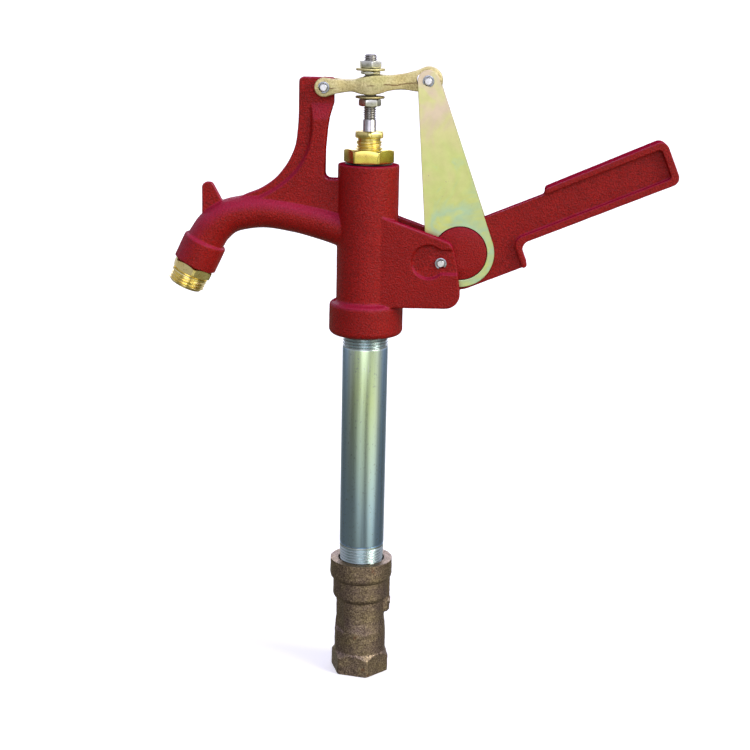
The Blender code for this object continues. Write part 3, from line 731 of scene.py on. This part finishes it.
def chromate_plate():
    """Yellow chromate on smooth plate: pink at the top, gold in the middle, greenish cloud low down."""
    n = Surface("plate_chromate")
    drift = n.noise(34, 3.0, 0.55, distortion=0.8)
    height = n.math("MULTIPLY", n.math("SUBTRACT", n.axis("Z"), PLATE_COLOURS_FROM * MM), 6.2)
    place = n.math("ADD", height, n.swing(drift, 1.3))
    colour = n.ramp(place, [(0.05, (0.71, 0.79, 0.27)), (0.22, (0.54, 0.74, 0.47)),
                            (0.42, (0.69, 0.77, 0.29)), (0.70, (0.75, 0.74, 0.34)),
                            (0.95, (0.78, 0.66, 0.47))])
    cloud = n.noise(130, 4.0, 0.6)
    colour = n.darken(colour, cloud, [(0.35, (0.80, 0.79, 0.72)), (0.65, (1.0, 0.99, 0.96))], 0.4)
    scuffs = n.mask(n.noise(300, 3.0, 0.7), 0.25, 0.31)
    colour = n.mix(scuffs, (0.50, 0.44, 0.28), colour)
    grain = n.noise(1.0, 3.0, 0.6, n.scaled(600, 600, 90))
    rough = n.ramp(grain, [(0.2, 0.28), (0.8, 0.40)])
    n.bump([(grain, 0.10, 0.05), (cloud, 0.08, 0.2)])
    return n.set(Base_Color=colour, Metallic=0.95, Roughness=rough)


def bright_metal(name, colour_low, colour_high, polish, marks):
    """Plated or drawn steel with fine directional marks."""
    n = Surface(name)
    lines = n.noise(1.0, 3.0, 0.6, n.scaled(*marks))
    stain = n.noise(210, 4.0, 0.6)
    colour = n.ramp(lines, [(0.25, colour_low), (0.7, colour_high)])
    colour = n.darken(colour, stain, [(0.35, 0.70), (0.62, 1.0)], 0.5)
    rough = n.ramp(lines, [(0.2, polish), (0.8, polish + 0.15)])
    n.bump([(lines, 0.15, 0.05), (stain, 0.10, 0.12)])
    return n.set(Base_Color=colour, Metallic=1.0, Roughness=rough)


def dark_rubber(name, level, roughness):
    n = Surface(name)
    grain = n.noise(1400, 3.0, 0.6)
    dust = n.noise(120, 4.0, 0.6)
    colour = n.ramp(dust, [(0.3, level), (0.75, level * 2.6)])
    n.bump([(grain, 0.35, 0.1)])
    rough = n.ramp(grain, [(0.2, roughness - 0.1), (0.8, roughness + 0.1)])
    return n.set(Base_Color=colour, Roughness=rough)


def paint(solid, material):
    solid.data.materials.clear()
    solid.data.materials.append(material)
    return solid


# ======== head casting

def spout_parts():
    steps = 8
    line = smooth_line(SPOUT_LINE, steps) + [along_spout(12)]
    radii = [radius for radius, _ in smooth_line([(radius, 0) for radius in SPOUT_RADII], steps)]
    pipe = tube_along("spout", line, radii + [SPOUT_RADII[-1]])
    collar = revolve("mouth_collar", [(13.6, 19.3), (15.2, 18.7), (MOUTH_COLLAR_R, 17.6),
                                      (MOUTH_COLLAR_R, -0.4), (15.2, -1.2)], closed=False)
    return [pipe, move_to_spout(collar)]


def slope_web_top(web):
    """Slice both faces of the web into a shoulder that runs out at the post's thickness."""
    shape = bmesh.new()
    shape.from_mesh(web.data)
    for side in (-1, 1):
        normal = Vector((0, side * 12.0, WEB_HALF - POST_HALF)).normalized()
        point = Vector((0, side * POST_HALF, 431.2)) * MM
        everything = shape.verts[:] + shape.edges[:] + shape.faces[:]
        result = bmesh.ops.bisect_plane(shape, geom=everything, plane_co=point, plane_no=normal,
                                        clear_outer=True)
        rim = [item for item in result["geom_cut"] if isinstance(item, bmesh.types.BMEdge)]
        bmesh.ops.holes_fill(shape, edges=rim, sides=0)
    tidy_shape(shape).to_mesh(web.data)
    shape.free()
    return web


def post_parts():
    top = rounded([(-25.5, 431, 0), (-25.5, 448.6, 1.5), (-50.3, 448.6, 3), (-50.3, 430, 0)])
    outer = smooth_line([(-50.3, 425), (-50.9, 412.5), (-52.7, 400.3), (-58, 388.1), (-66.9, 376.8),
                         (-77.8, 368.8), (-90, 363.5), (-99, 358)], 6)
    inner = smooth_line([(-40.2, 431), (-40.2, 414), (-41.6, 401.5), (-45.2, 391.4), (-50.5, 382.8),
                         (-57.7, 375.3), (-67, 368.3), (-79, 361.5)], 6)
    root = [(-94, 350), (-60, 349), (-15, 343)]
    inner_edge = [(-31.3, 398), (-30.1, 412), (-28.9, 420)]
    notch = rounded([(-15, 377.2, 0), (-31.4, 377.2, 4), (*inner_edge[0], 0)])[:-1] + inner_edge
    plate = slab("post_plate", top + outer + root + notch, -POST_HALF, POST_HALF)
    layers = []
    for spread, half in ((1.2, WEB_HALF - 2.2), (0.6, WEB_HALF - 1.1), (0.0, WEB_HALF)):
        drafted = [(x - 0.9 * spread, z + 0.45 * spread) for x, z in inner]
        layers.append(slope_web_top(slab("post_web", [(-25.7, 431)] + drafted + root + notch, -half, half)))
    return [plate, *layers]


def ear_parts():
    outline = rounded([(9, 353.5, 0), (61.3, 335.4, 8), (65.3, 320, 40), (70, 288.2, 10.5), (9, 287.2, 0)])
    ears = []
    for side in (-1, 1):
        near, far = sorted((side * 10.0, side * 19.1))
        ear = slab("ear", outline, near, far)
        floor, outside = sorted((side * 16.0, side * 26.0))
        pocket = cylinder("pocket", 12.2, 10, (45.2, side * 21.0, 321.6), (0, 1, 0), 64)
        slot = block("slot", (48, floor, 313.2), (76, outside, 330.6))
        ears.append(boolean(ear, "DIFFERENCE", pocket, slot))
    return ears


def head_casting():
    tube = revolve("tube", [(20.6, TUBE_TOP + 1.5), (22.0, TUBE_TOP - 0.4), (22.0, 290.5), (22.7, 288.8),
                            (25.2, 288.1), (26.5, 286.9), (26.9, 285.2), (26.9, 267.6), (26.1, 266.0),
                            (24.6, COLLAR_BOTTOM - 0.9)], closed=False)
    fin = slab("fin", rounded([(-120.3, 345, 0), (-120.3, 372.3, 3.8), (-113.2, 372.3, 3.6),
                               (-105.5, 358, 0), (-103, 348, 0)]), -3.1, 3.1)
    casting = cast("head_shell", 0.60, 3, 0.46, tube, fin, *spout_parts(), *post_parts(), *ear_parts())
    roughen(casting, 0.09, 0.05, 9.0, 2.0)
    face = block("top_face", (-23.5, -30, TUBE_TOP), (30, 30, TUBE_TOP + 8))
    bore = revolve("bore", [(13.5, TUBE_TOP + 3), (13.5, PIPE_TOP + 0.3), (17.0, PIPE_TOP + 0.3),
                            (17.0, 268.2), (18.6, COLLAR_BOTTOM), (18.6, COLLAR_BOTTOM - 6)], closed=False)
    inside = smooth_line(SPOUT_LINE, 6)
    waterway = tube_along("waterway", inside, [SPOUT_BORE_R] * len(inside), 32)
    socket = revolve("socket", [(10.8, 22), (10.8, 1.0), (11.8, 0.0), (11.8, -3)], closed=False)
    mouth_face = revolve("mouth_face", [(24, 0.0), (24, -6)], closed=False)
    boolean(casting, "DIFFERENCE", face, bore, waterway, move_to_spout(socket), move_to_spout(mouth_face),
            cross_hole(FULCRUM, PIN_HOLE_R, 20), cross_hole(HANDLE_PIVOT, PIN_HOLE_R, 60))
    return smooth_shade(casting, 50)


# ======== handle, links, rocker

def handle_lever():
    outline = rounded([(-9, -11, 7), (-9, 11, 7), (4, 17.8, 8), (85.5, 17.8, 2), (88.4, 21.9, 2),
                       (178, 23.5, 6), (178, -8.8, 6), (57.2, -8.8, 6.5), (56.5, -25.6, 2), (4, -25.6, 14)])
    lever = slab("lever", outline, -9.7, 9.7)
    inside = rounded([(172.8, 18.6, 3), (86.8, 18.2, 0), (86.8, 30, 0), (-20, 30, 0), (-20, -40, 0),
                      (52.4, -40, 0), (53.4, -3.8, 7), (172.8, -3.6, 3)])
    boolean(lever, "DIFFERENCE", slab("pocket_front", inside, -16, -5), slab("pocket_back", inside, 5, 16))
    casting = cast("handle_shell", 0.5, 4, 0.55, move_to(lever, HANDLE_PIVOT, "Y", -HANDLE_ANGLE))
    roughen(casting, 0.09, 0.05, 9.0, 2.0)
    half = [(CAM_R - 0.7, 9.5), (CAM_R - 0.15, 9.3), (CAM_R, 8.8)]
    cam = revolve("cam", mirrored(half), 128, closed=False)
    boolean(casting, "UNION", move_to(cam, CAM_CENTRE, "X", 90))
    boolean(casting, "DIFFERENCE", cross_hole(HANDLE_PIVOT, PIN_HOLE_R, 40))
    return smooth_shade(casting, 45)


def link_plate(name, near, far):
    plate = slab(name, hull_of_circles(CAM_CENTRE, LINK_LOW_R, LINK_TOP, LINK_TOP_R, 96), near, far)
    boolean(plate, "DIFFERENCE", cross_hole(CAM_CENTRE, RING_R, 30, 128),
            cross_hole(LINK_TOP, PIN_HOLE_R, 30))
    return smooth_shade(bevel(plate, 0.35, 3, 40), 12)


def rocker_side():
    left = arc(FULCRUM, ROCKER_EYE_R, 100, 280, 16)
    right = arc(LINK_TOP, ROCKER_END_R, -70, 110, 20)
    below = smooth_line([(-24, 437.7), (-13, 439.5), (-6, 438.0), (2, 437.4), (8.5, 438.8), (13, 440.3),
                         (22, 441.5), (34, 440.3)], 4)
    above = smooth_line([(32, 454.7), (22, 452.1), (12, 451.1), (4, 451.1), (-5, 449.5), (-13, 447.4),
                         (-24, 447.7)], 4)
    return left + below + right + above


def convex_outline(points):
    """Smallest convex outline round points, counter-clockwise."""
    ordered = sorted(points)
    halves = []
    for run in (ordered, ordered[::-1]):
        half = []
        for point in run:
            while len(half) > 1 and ((half[-1][0] - half[-2][0]) * (point[1] - half[-2][1])
                                     <= (half[-1][1] - half[-2][1]) * (point[0] - half[-2][0])):
                half.pop()
            half.append(point)
        halves += half[:-1]
    return halves


def link_slot():
    """Cutter for the slot that the link's pin wanders in."""
    turn = Matrix.Rotation(math.atan2(LINK_TOP[1] - FULCRUM[1], LINK_TOP[0] - FULCRUM[0]), 2)
    circles = [(LINK_SLOT_RIGHT, LINK_SLOT_RIGHT_R)]
    circles += [((LINK_SLOT_LEFT, height), PIN_HOLE_R) for height in LINK_SLOT_LEFT_HEIGHTS]
    points = []
    for offset, radius in circles:
        points += arc(tuple(Vector(LINK_TOP) + turn @ Vector(offset)), radius, 0, 350, 35)
    return slab("link_slot", convex_outline(points), -15, 15)


def rocker_arm():
    bar = slab("bar", rocker_side(), -12, 12)
    edge = smooth_line([(-42, 10.1), (-26, 10.1), (-18, 9.2), (-10, 9.6), (0, 10.8), (9, 9.0), (17, 6.6),
                        (26, 5.3), (54, 5.3)], 6)
    plan = slab("plan", mirrored(edge), 420, 470)
    plan.data.transform(Matrix.Rotation(math.radians(90), 4, "X"))
    boolean(bar, "INTERSECT", plan)
    casting = cast("rocker_shell", 0.34, 9, 1.0, bar)
    roughen(casting, 0.12, 0.08, 5.0, 1.3)
    slot = block("slot", (-46, -5.0, 428), (-22, 5.0, 458))
    rod_slot = cylinder("rod_slot", ROD_R + 0.9, 24, (0, 0, 0))
    stretch = Matrix.Diagonal((1.52, 1, 1, 1))
    rod_slot.data.transform(Matrix.Translation((0, 0, BOSS_HEIGHT * MM)) @ stretch)
    boolean(casting, "DIFFERENCE", slot, rod_slot, cross_hole(FULCRUM, PIN_HOLE_R, 30), link_slot())
    return smooth_shade(casting, 50)


# ======== riser and foot valve

def riser_pipe():
    low_end, high_end = PIPE_BARE
    top_r = PIPE_R - PIPE_TAPER * (PIPE_TOP - high_end)
    bottom_r = PIPE_R - PIPE_TAPER * (low_end - PIPE_BOTTOM)
    rows = [(PIPE_BORE_R, PIPE_TOP - 0.6), (PIPE_BORE_R + 0.6, PIPE_TOP), (top_r - 1.2, PIPE_TOP)]
    rows += thread_rows(top_r, 1.1, PIPE_TOP - 0.8, high_end, PIPE_PITCH, -PIPE_TAPER,
                        fade_top=False, fade_bottom=True)
    rows += [(PIPE_R - 0.25, high_end - 0.1), (PIPE_R, high_end - 0.9), (PIPE_R, 180),
             (PIPE_R, low_end + 1.0), (PIPE_R - 0.25, low_end + 0.1)]
    rows += thread_rows(PIPE_R, 1.1, low_end, PIPE_BOTTOM + 0.8, PIPE_PITCH, PIPE_TAPER)
    rows += [(bottom_r - 1.2, PIPE_BOTTOM), (PIPE_BORE_R + 0.6, PIPE_BOTTOM),
             (PIPE_BORE_R, PIPE_BOTTOM + 0.6)]
    return smooth_shade(revolve("riser_tube", rows, 120), 60)


def valve_body():
    body = revolve("body", [(23.4, FOOT_TOP + 2), (23.4, 77.6), (22.7, 75.5), (21.0, 74.6), (21.0, 61.2),
                            (20.2, 59.4), (18.4, 58.3), (18.4, 42), (FOOT_WAIST_R + 0.1, 33),
                            (FOOT_WAIST_R + 0.1, 8)], closed=False)
    flat = block("cast_flat", (-29, -12, 33.6), (-17.0, 12, 58.0), turn_z=FLAT_TURN)
    boolean(body, "DIFFERENCE", flat)
    rim = FOOT_WAIST_R - 0.2
    hexagon = (FOOT_HEX_FLATS, FOOT_HEX_TURN)
    foot = revolve("foot", [(rim, FOOT_HEX_TOP), hexagon_wall(*hexagon, rim, 1.35, FOOT_HEX_TOP),
                            lambda angle: (hex_radius(*hexagon, angle), -1.5)],
                   HEX_SEGMENTS, phase=FOOT_HEX_TURN + 30, closed=False)
    boss = cylinder("boss", 4.7, 26, (17.6, 0, 61.6), segments=48)
    boss_end = revolve("boss_end", [(4.7, 6), (4.7, 2.2), (3.6, 0.4), (2.4, 0)], 48, closed=False)
    casting = cast("foot_shell", 0.42, 3, 0.70, body, foot, boss, move_to(boss_end, (17.6, 46.7), "Z", 0))
    roughen(casting, 0.20, 0.12, 4.5, 1.4)
    above = cylinder("above", 40, 10, (0, 0, FOOT_TOP + 5))
    below = cylinder("below", 40, 10, (0, 0, -5))
    bore = revolve("bore", [(17.6, FOOT_TOP + 3), (17.6, FOOT_TOP - 0.3), (16.95, FOOT_TOP - 1.0),
                            (16.95, 67.7), (13.0, 67.7), (13.0, 24), (10.5, 24), (10.5, 19.5),
                            (12.9, 17.5), (12.9, 1.5), (14.2, -0.01), (14.2, -3)], closed=False)
    drain = cylinder("drain", 3.3, 16, (20, 0, 56), (1, 0, 0), 48)
    boolean(casting, "DIFFERENCE", above, below, bore, drain)
    return smooth_shade(casting, 50)


# ======== brass fittings

def hose_nozzle():
    top, end = -0.8, -17.9
    rows = [(8.2, 12), (10.5, 12), (10.5, top)]
    rows += hexagon_rows(27.3, 12.0, top, -7.4, 0.5, 0.5)
    rows += [(12.0, -7.4), (11.9, -8.1)]
    rows += thread_rows(13.4, 1.3, -8.3, -16.6, PIPE_PITCH)
    rows += [(12.1, -16.9), (12.0, end + 0.3), (11.7, end), (9.9, end), (9.5, end + 0.4), (9.5, -12),
             (8.2, -10)]
    nozzle = revolve("nozzle_brass", rows, HEX_SEGMENTS, phase=42.0)
    return smooth_shade(move_to_spout(nozzle), 35)


def stuffing_box():
    top, bottom = 399.2, TUBE_TOP + 1.4
    rows = [(9.35, top - 0.9), (10.2, top)] + hexagon_rows(31.9, 27.0, top, bottom, 0.55, 0.2)
    rows += [(13.2, bottom), (13.2, 368), (ROD_HOLE_R, 368), (ROD_HOLE_R, 374), (9.35, 374)]
    return smooth_shade(bevel(revolve("stuffing_brass", rows, HEX_SEGMENTS, phase=57.0), 0.2, 2, 25), 30)


def packing_nut():
    top, bottom, thread_top = 411.8, 406.9, 404.6
    rows = [(ROD_HOLE_R, top - 0.7), (ROD_HOLE_R + 0.9, top)]
    rows += hexagon_rows(19.9, 4.0, top, bottom, 0.95, 0.95)
    rows += [(8.1, bottom), (8.0, thread_top + 0.4)]
    rows += thread_rows(9.05, 1.05, thread_top, 390.0, PIPE_PITCH, per_turn=16)
    rows += [(8.1, 389.3), (ROD_HOLE_R, 389.3)]
    return smooth_shade(revolve("packing_brass", rows, HEX_SEGMENTS, phase=34.0), 50)


def box_gasket():
    rows = [(13.5, 388.45), (13.8, TUBE_TOP + 0.25), (16.4, TUBE_TOP + 0.25), (16.95, 388.7), (16.4, 389.15),
            (13.8, 389.15)]
    return smooth_shade(revolve("gasket_rubber", rows, 96), 80)


# ======== rod, nuts, pins

def operating_rod():
    rows = [(3.4, 465.3), (4.0, 464.7)]
    rows += thread_rows(4.7, 0.95, 464.2, 420.6, ROD_PITCH, fade_top=False)
    rows += [(3.8, 420.4), (ROD_R, 419.2), (ROD_R, 300), (ROD_R, 120), (ROD_R, 60), (ROD_R, 36.5),
             (4.1, 35.5)]
    return smooth_shade(revolve("rod_steel", rows, 64, closed=False), 60)


def pivot_pin(name, pivot, half_length, clip_inside):
    inner = clip_inside - 2.2
    half = [(2.15, half_length), (2.45, half_length - 0.3), (2.45, inner), (PIN_R - 0.15, inner),
            (PIN_R, inner - 0.15)]
    pin = revolve(name, mirrored(half), 64, closed=False)
    return smooth_shade(move_to(pin, pivot, "X", 90), 40)


def clip_ring(name, pivot, near, opening):
    """C-shaped retaining ring with rounded ends, open towards an angle."""
    start, end = opening + 40, opening + 320
    mid, half = 3.60, 0.52
    outline = []
    for radius, first, last, turn in ((mid + half, start, end, 0), (mid - half, end, start, 180)):
        outline += arc(pivot, radius, first, last, 40)
        tip = arc(pivot, mid, last, last + 1, 1)[0]
        outline += arc(tip, half, last + turn, last + turn + 180, 8)[1:-1]
    ring = slab(name, outline, near, near + 1.0)
    return smooth_shade(bevel(ring, 0.22, 2, 40), 40)


# ======== staging

def build_floor():
    """Wide pale floor that leaves the object's own shading alone."""
    shape = bmesh.new()
    bmesh.ops.create_circle(shape, cap_ends=True, segments=96, radius=FLOOR_R)
    floor = new_object("floor", shape)
    floor.location.z = cad_box[0].z - FLOOR_GAP
    floor.visible_glossy = False
    floor.visible_diffuse = False
    n = Surface("floor_white")
    grain = n.noise(3.0, 3.0, 0.5)
    colour = n.ramp(grain, [(0.3, 0.90), (0.7, 0.92)])
    n.link(colour, n.shader.inputs["Emission Color"])
    paint(floor, n.set(Base_Color=colour, Roughness=0.9, Specular_IOR_Level=0.0,
                       Emission_Strength=FLOOR_GLOW))


def direction(azimuth, elevation):
    """Unit vector; the azimuth is measured from the front towards the handle, in degrees."""
    turn, rise = math.radians(azimuth), math.radians(elevation)
    return Vector((math.sin(turn) * math.cos(rise), -math.cos(turn) * math.cos(rise), math.sin(rise)))


def build_key_light():
    lamp = bpy.data.lights.new("key", "SUN")
    lamp.energy = KEY_STRENGTH
    lamp.angle = math.radians(KEY_SPREAD)
    lamp.color = KEY_COLOUR
    holder = bpy.data.objects.new("key", lamp)
    holder.rotation_euler = direction(KEY_AZIMUTH, KEY_ELEVATION).to_track_quat("Z", "Y").to_euler()
    bpy.context.scene.collection.objects.link(holder)


def build_world():
    """White studio above, grey room below with pale cards that show in the metal."""
    world = bpy.data.worlds.new("studio")
    bpy.context.scene.world = world
    world.use_nodes = True
    n = Nodes(world.node_tree, "Generated")

    def with_cards(level, cards):
        """Level of light with round cards added to it."""
        for azimuth, elevation, width, strength in cards:
            dot = n.add("ShaderNodeVectorMath", operation="DOT_PRODUCT")
            n.link(n.place, dot.inputs[0])
            dot.inputs[1].default_value = direction(azimuth, elevation)
            edge = math.cos(math.radians(width))
            card = n.soft_step(dot.outputs["Value"], edge, edge + 0.75 * (1 - edge))
            level = n.math("ADD", n.math("MULTIPLY", card, strength), level)
        return level

    height = n.axis("Z")
    low = with_cards(LOW_LEVEL, LOW_CARDS)
    sky = n.math("ADD", n.math("MULTIPLY", height, SKY_TOP - SKY_RIM), SKY_RIM)
    above = n.soft_step(height, -0.12, 0.14)
    level = n.add("ShaderNodeMix", data_type="FLOAT")
    for value, index in ((above, 0), (low, 2), (with_cards(sky, SKY_PANELS), 3)):
        n.feed(value, level.inputs[index])
    background = n.tree.nodes["Background"]
    n.link(level.outputs[0], background.inputs["Strength"])
    n.link(n.mix(above, LOW_COLOUR, SKY_COLOUR), background.inputs["Color"])


def build_camera():
    """Long lens, a little to the right of the front and above, with a slight roll."""
    distance, height = 1.1205, 0.512
    azimuth, pitch, roll = math.radians(4.0), math.radians(14.0), math.radians(1.2)
    eye = Vector((distance * math.sin(azimuth), -distance * math.cos(azimuth), height))
    yaw = azimuth - math.atan2(0.0076, distance)
    ahead = Vector((-math.sin(yaw) * math.cos(pitch), math.cos(yaw) * math.cos(pitch), -math.sin(pitch)))
    data = bpy.data.cameras.new("camera")
    data.sensor_width = 36.0
    data.lens = 74.9
    camera = bpy.data.objects.new("camera", data)
    camera.location = eye
    camera.rotation_mode = "QUATERNION"
    level = ahead.to_track_quat("-Z", "Y")
    camera.rotation_quaternion = level @ Matrix.Rotation(roll, 3, "Z").to_quaternion()
    bpy.context.scene.collection.objects.link(camera)
    bpy.context.scene.camera = camera


# ======== assembly

def stand_for(solid, body, node, material):
    """Put a finished piece in a CAD node's place."""
    paint(solid, material)
    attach(solid, body)
    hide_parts(node)


def dress_hidden(materials):
    """Better materials for the inner CAD nodes that stay as they are."""
    finishes = {"brass": ["gland_follower", "valve_seat", "plunger_body", "plunger_nut", "plunger_washer"],
                "bronze": ["drain_bushing"],
                "rubber": ["plunger_rubber", "plunger_seal"],
                "packing": ["packing_ring_1", "packing_ring_2", "packing_ring_3"]}
    for finish, names in finishes.items():
        for name in names:
            paint(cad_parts[name], materials[finish])


def main():
    bpy.context.scene.view_settings.view_transform = "Standard"
    build_camera()
    build_key_light()
    build_world()
    build_floor()
    materials = {
        "red": red_paint(),
        "galvanized": galvanized(),
        "bronze": cast_bronze(),
        "brass": brass("brass", 0.17, (0.89, 0.78, 0.18), (0.74, 0.56, 0.14)),
        "brass_nozzle": brass("brass_nozzle", 0.19, (0.97, 0.85, 0.36), (0.88, 0.70, 0.25)),
        "brass_nut": brass("brass_nut", 0.30, (0.88, 0.78, 0.28), (0.76, 0.58, 0.18)),
        "cast_chromate": chromate_cast(),
        "plate_chromate": chromate_plate(),
        "zinc": bright_metal("zinc_nut", (0.68, 0.68, 0.54), (0.90, 0.92, 0.80), 0.22, (240, 240, 480)),
        "steel": bright_metal("bare_steel", (0.32, 0.31, 0.28), (0.66, 0.65, 0.60), 0.24, (900, 900, 60)),
        "pin": bright_metal("pin_steel", (0.72, 0.74, 0.72), (0.92, 0.94, 0.92), 0.32, (300, 300, 300)),
        "clip": bright_metal("clip_steel", (0.30, 0.33, 0.34), (0.50, 0.54, 0.56), 0.30, (400, 400, 400)),
        "rubber": dark_rubber("black_rubber", 0.012, 0.5),
        "packing": dark_rubber("packing_fibre", 0.03, 0.8),
    }
    stand_for(head_casting(), "head", "head_casting", materials["red"])
    stand_for(riser_pipe(), "head", "riser_pipe", materials["galvanized"])
    stand_for(valve_body(), "head", "valve_body", materials["bronze"])
    stand_for(hose_nozzle(), "head", "hose_nozzle", materials["brass_nozzle"])
    stand_for(stuffing_box(), "head", "stuffing_box", materials["brass"])
    stand_for(packing_nut(), "head", "packing_nut", materials["brass_nut"])
    stand_for(box_gasket(), "head", "box_gasket", materials["rubber"])
    stand_for(handle_lever(), "handle", "handle_lever", materials["red"])
    for side, near, far in (("front", -8.8, -5.6), ("back", 5.6, 8.8)):
        stand_for(link_plate("link_plate_" + side, near, far), "links", "link_" + side,
                  materials["plate_chromate"])
    stand_for(rocker_arm(), "rocker", "rocker_arm", materials["cast_chromate"])
    stand_for(operating_rod(), "rod", "operating_rod", materials["steel"])
    for name, across, turn, top, bottom in (("top_jam_nut", 14.3, 12, 461.0, 455.9),
                                            ("upper_nut", 12.7, 20, 453.7, 451.5),
                                            ("lower_jam_nut", 14.3, 43, 434.3, 429.2)):
        piece = nut(name + "_plated", across, turn, top, bottom)
        stand_for(piece, "rod", name, materials["zinc"])
    for name, top, bottom in (("top_washer", 455.6, 454.0), ("lower_washer", 436.3, 434.7)):
        piece = washer(name + "_plated", 10.4, ROD_HOLE_R, top, bottom)
        stand_for(piece, "rod", name, materials["cast_chromate"])
    pins = (("fulcrum", "head", FULCRUM, 12.4, 10.4, 215),
            ("handle", "head", HANDLE_PIVOT, 18.4, 16.4, 283),
            ("link", "links", LINK_TOP, 11.4, 9.2, 250))
    for name, body, pivot, half_length, inside, opening in pins:
        stand_for(pivot_pin(name + "_pin_turned", pivot, half_length, inside), body, name + "_pin",
                  materials["pin"])
        for label, near in (("front", -inside - 1.0), ("back", inside)):
            clip = clip_ring("%s_ring_%s" % (name, label), pivot, near, opening)
            stand_for(clip, body, "%s_clip_%s" % (name, label), materials["clip"])
    dress_hidden(materials)


main()
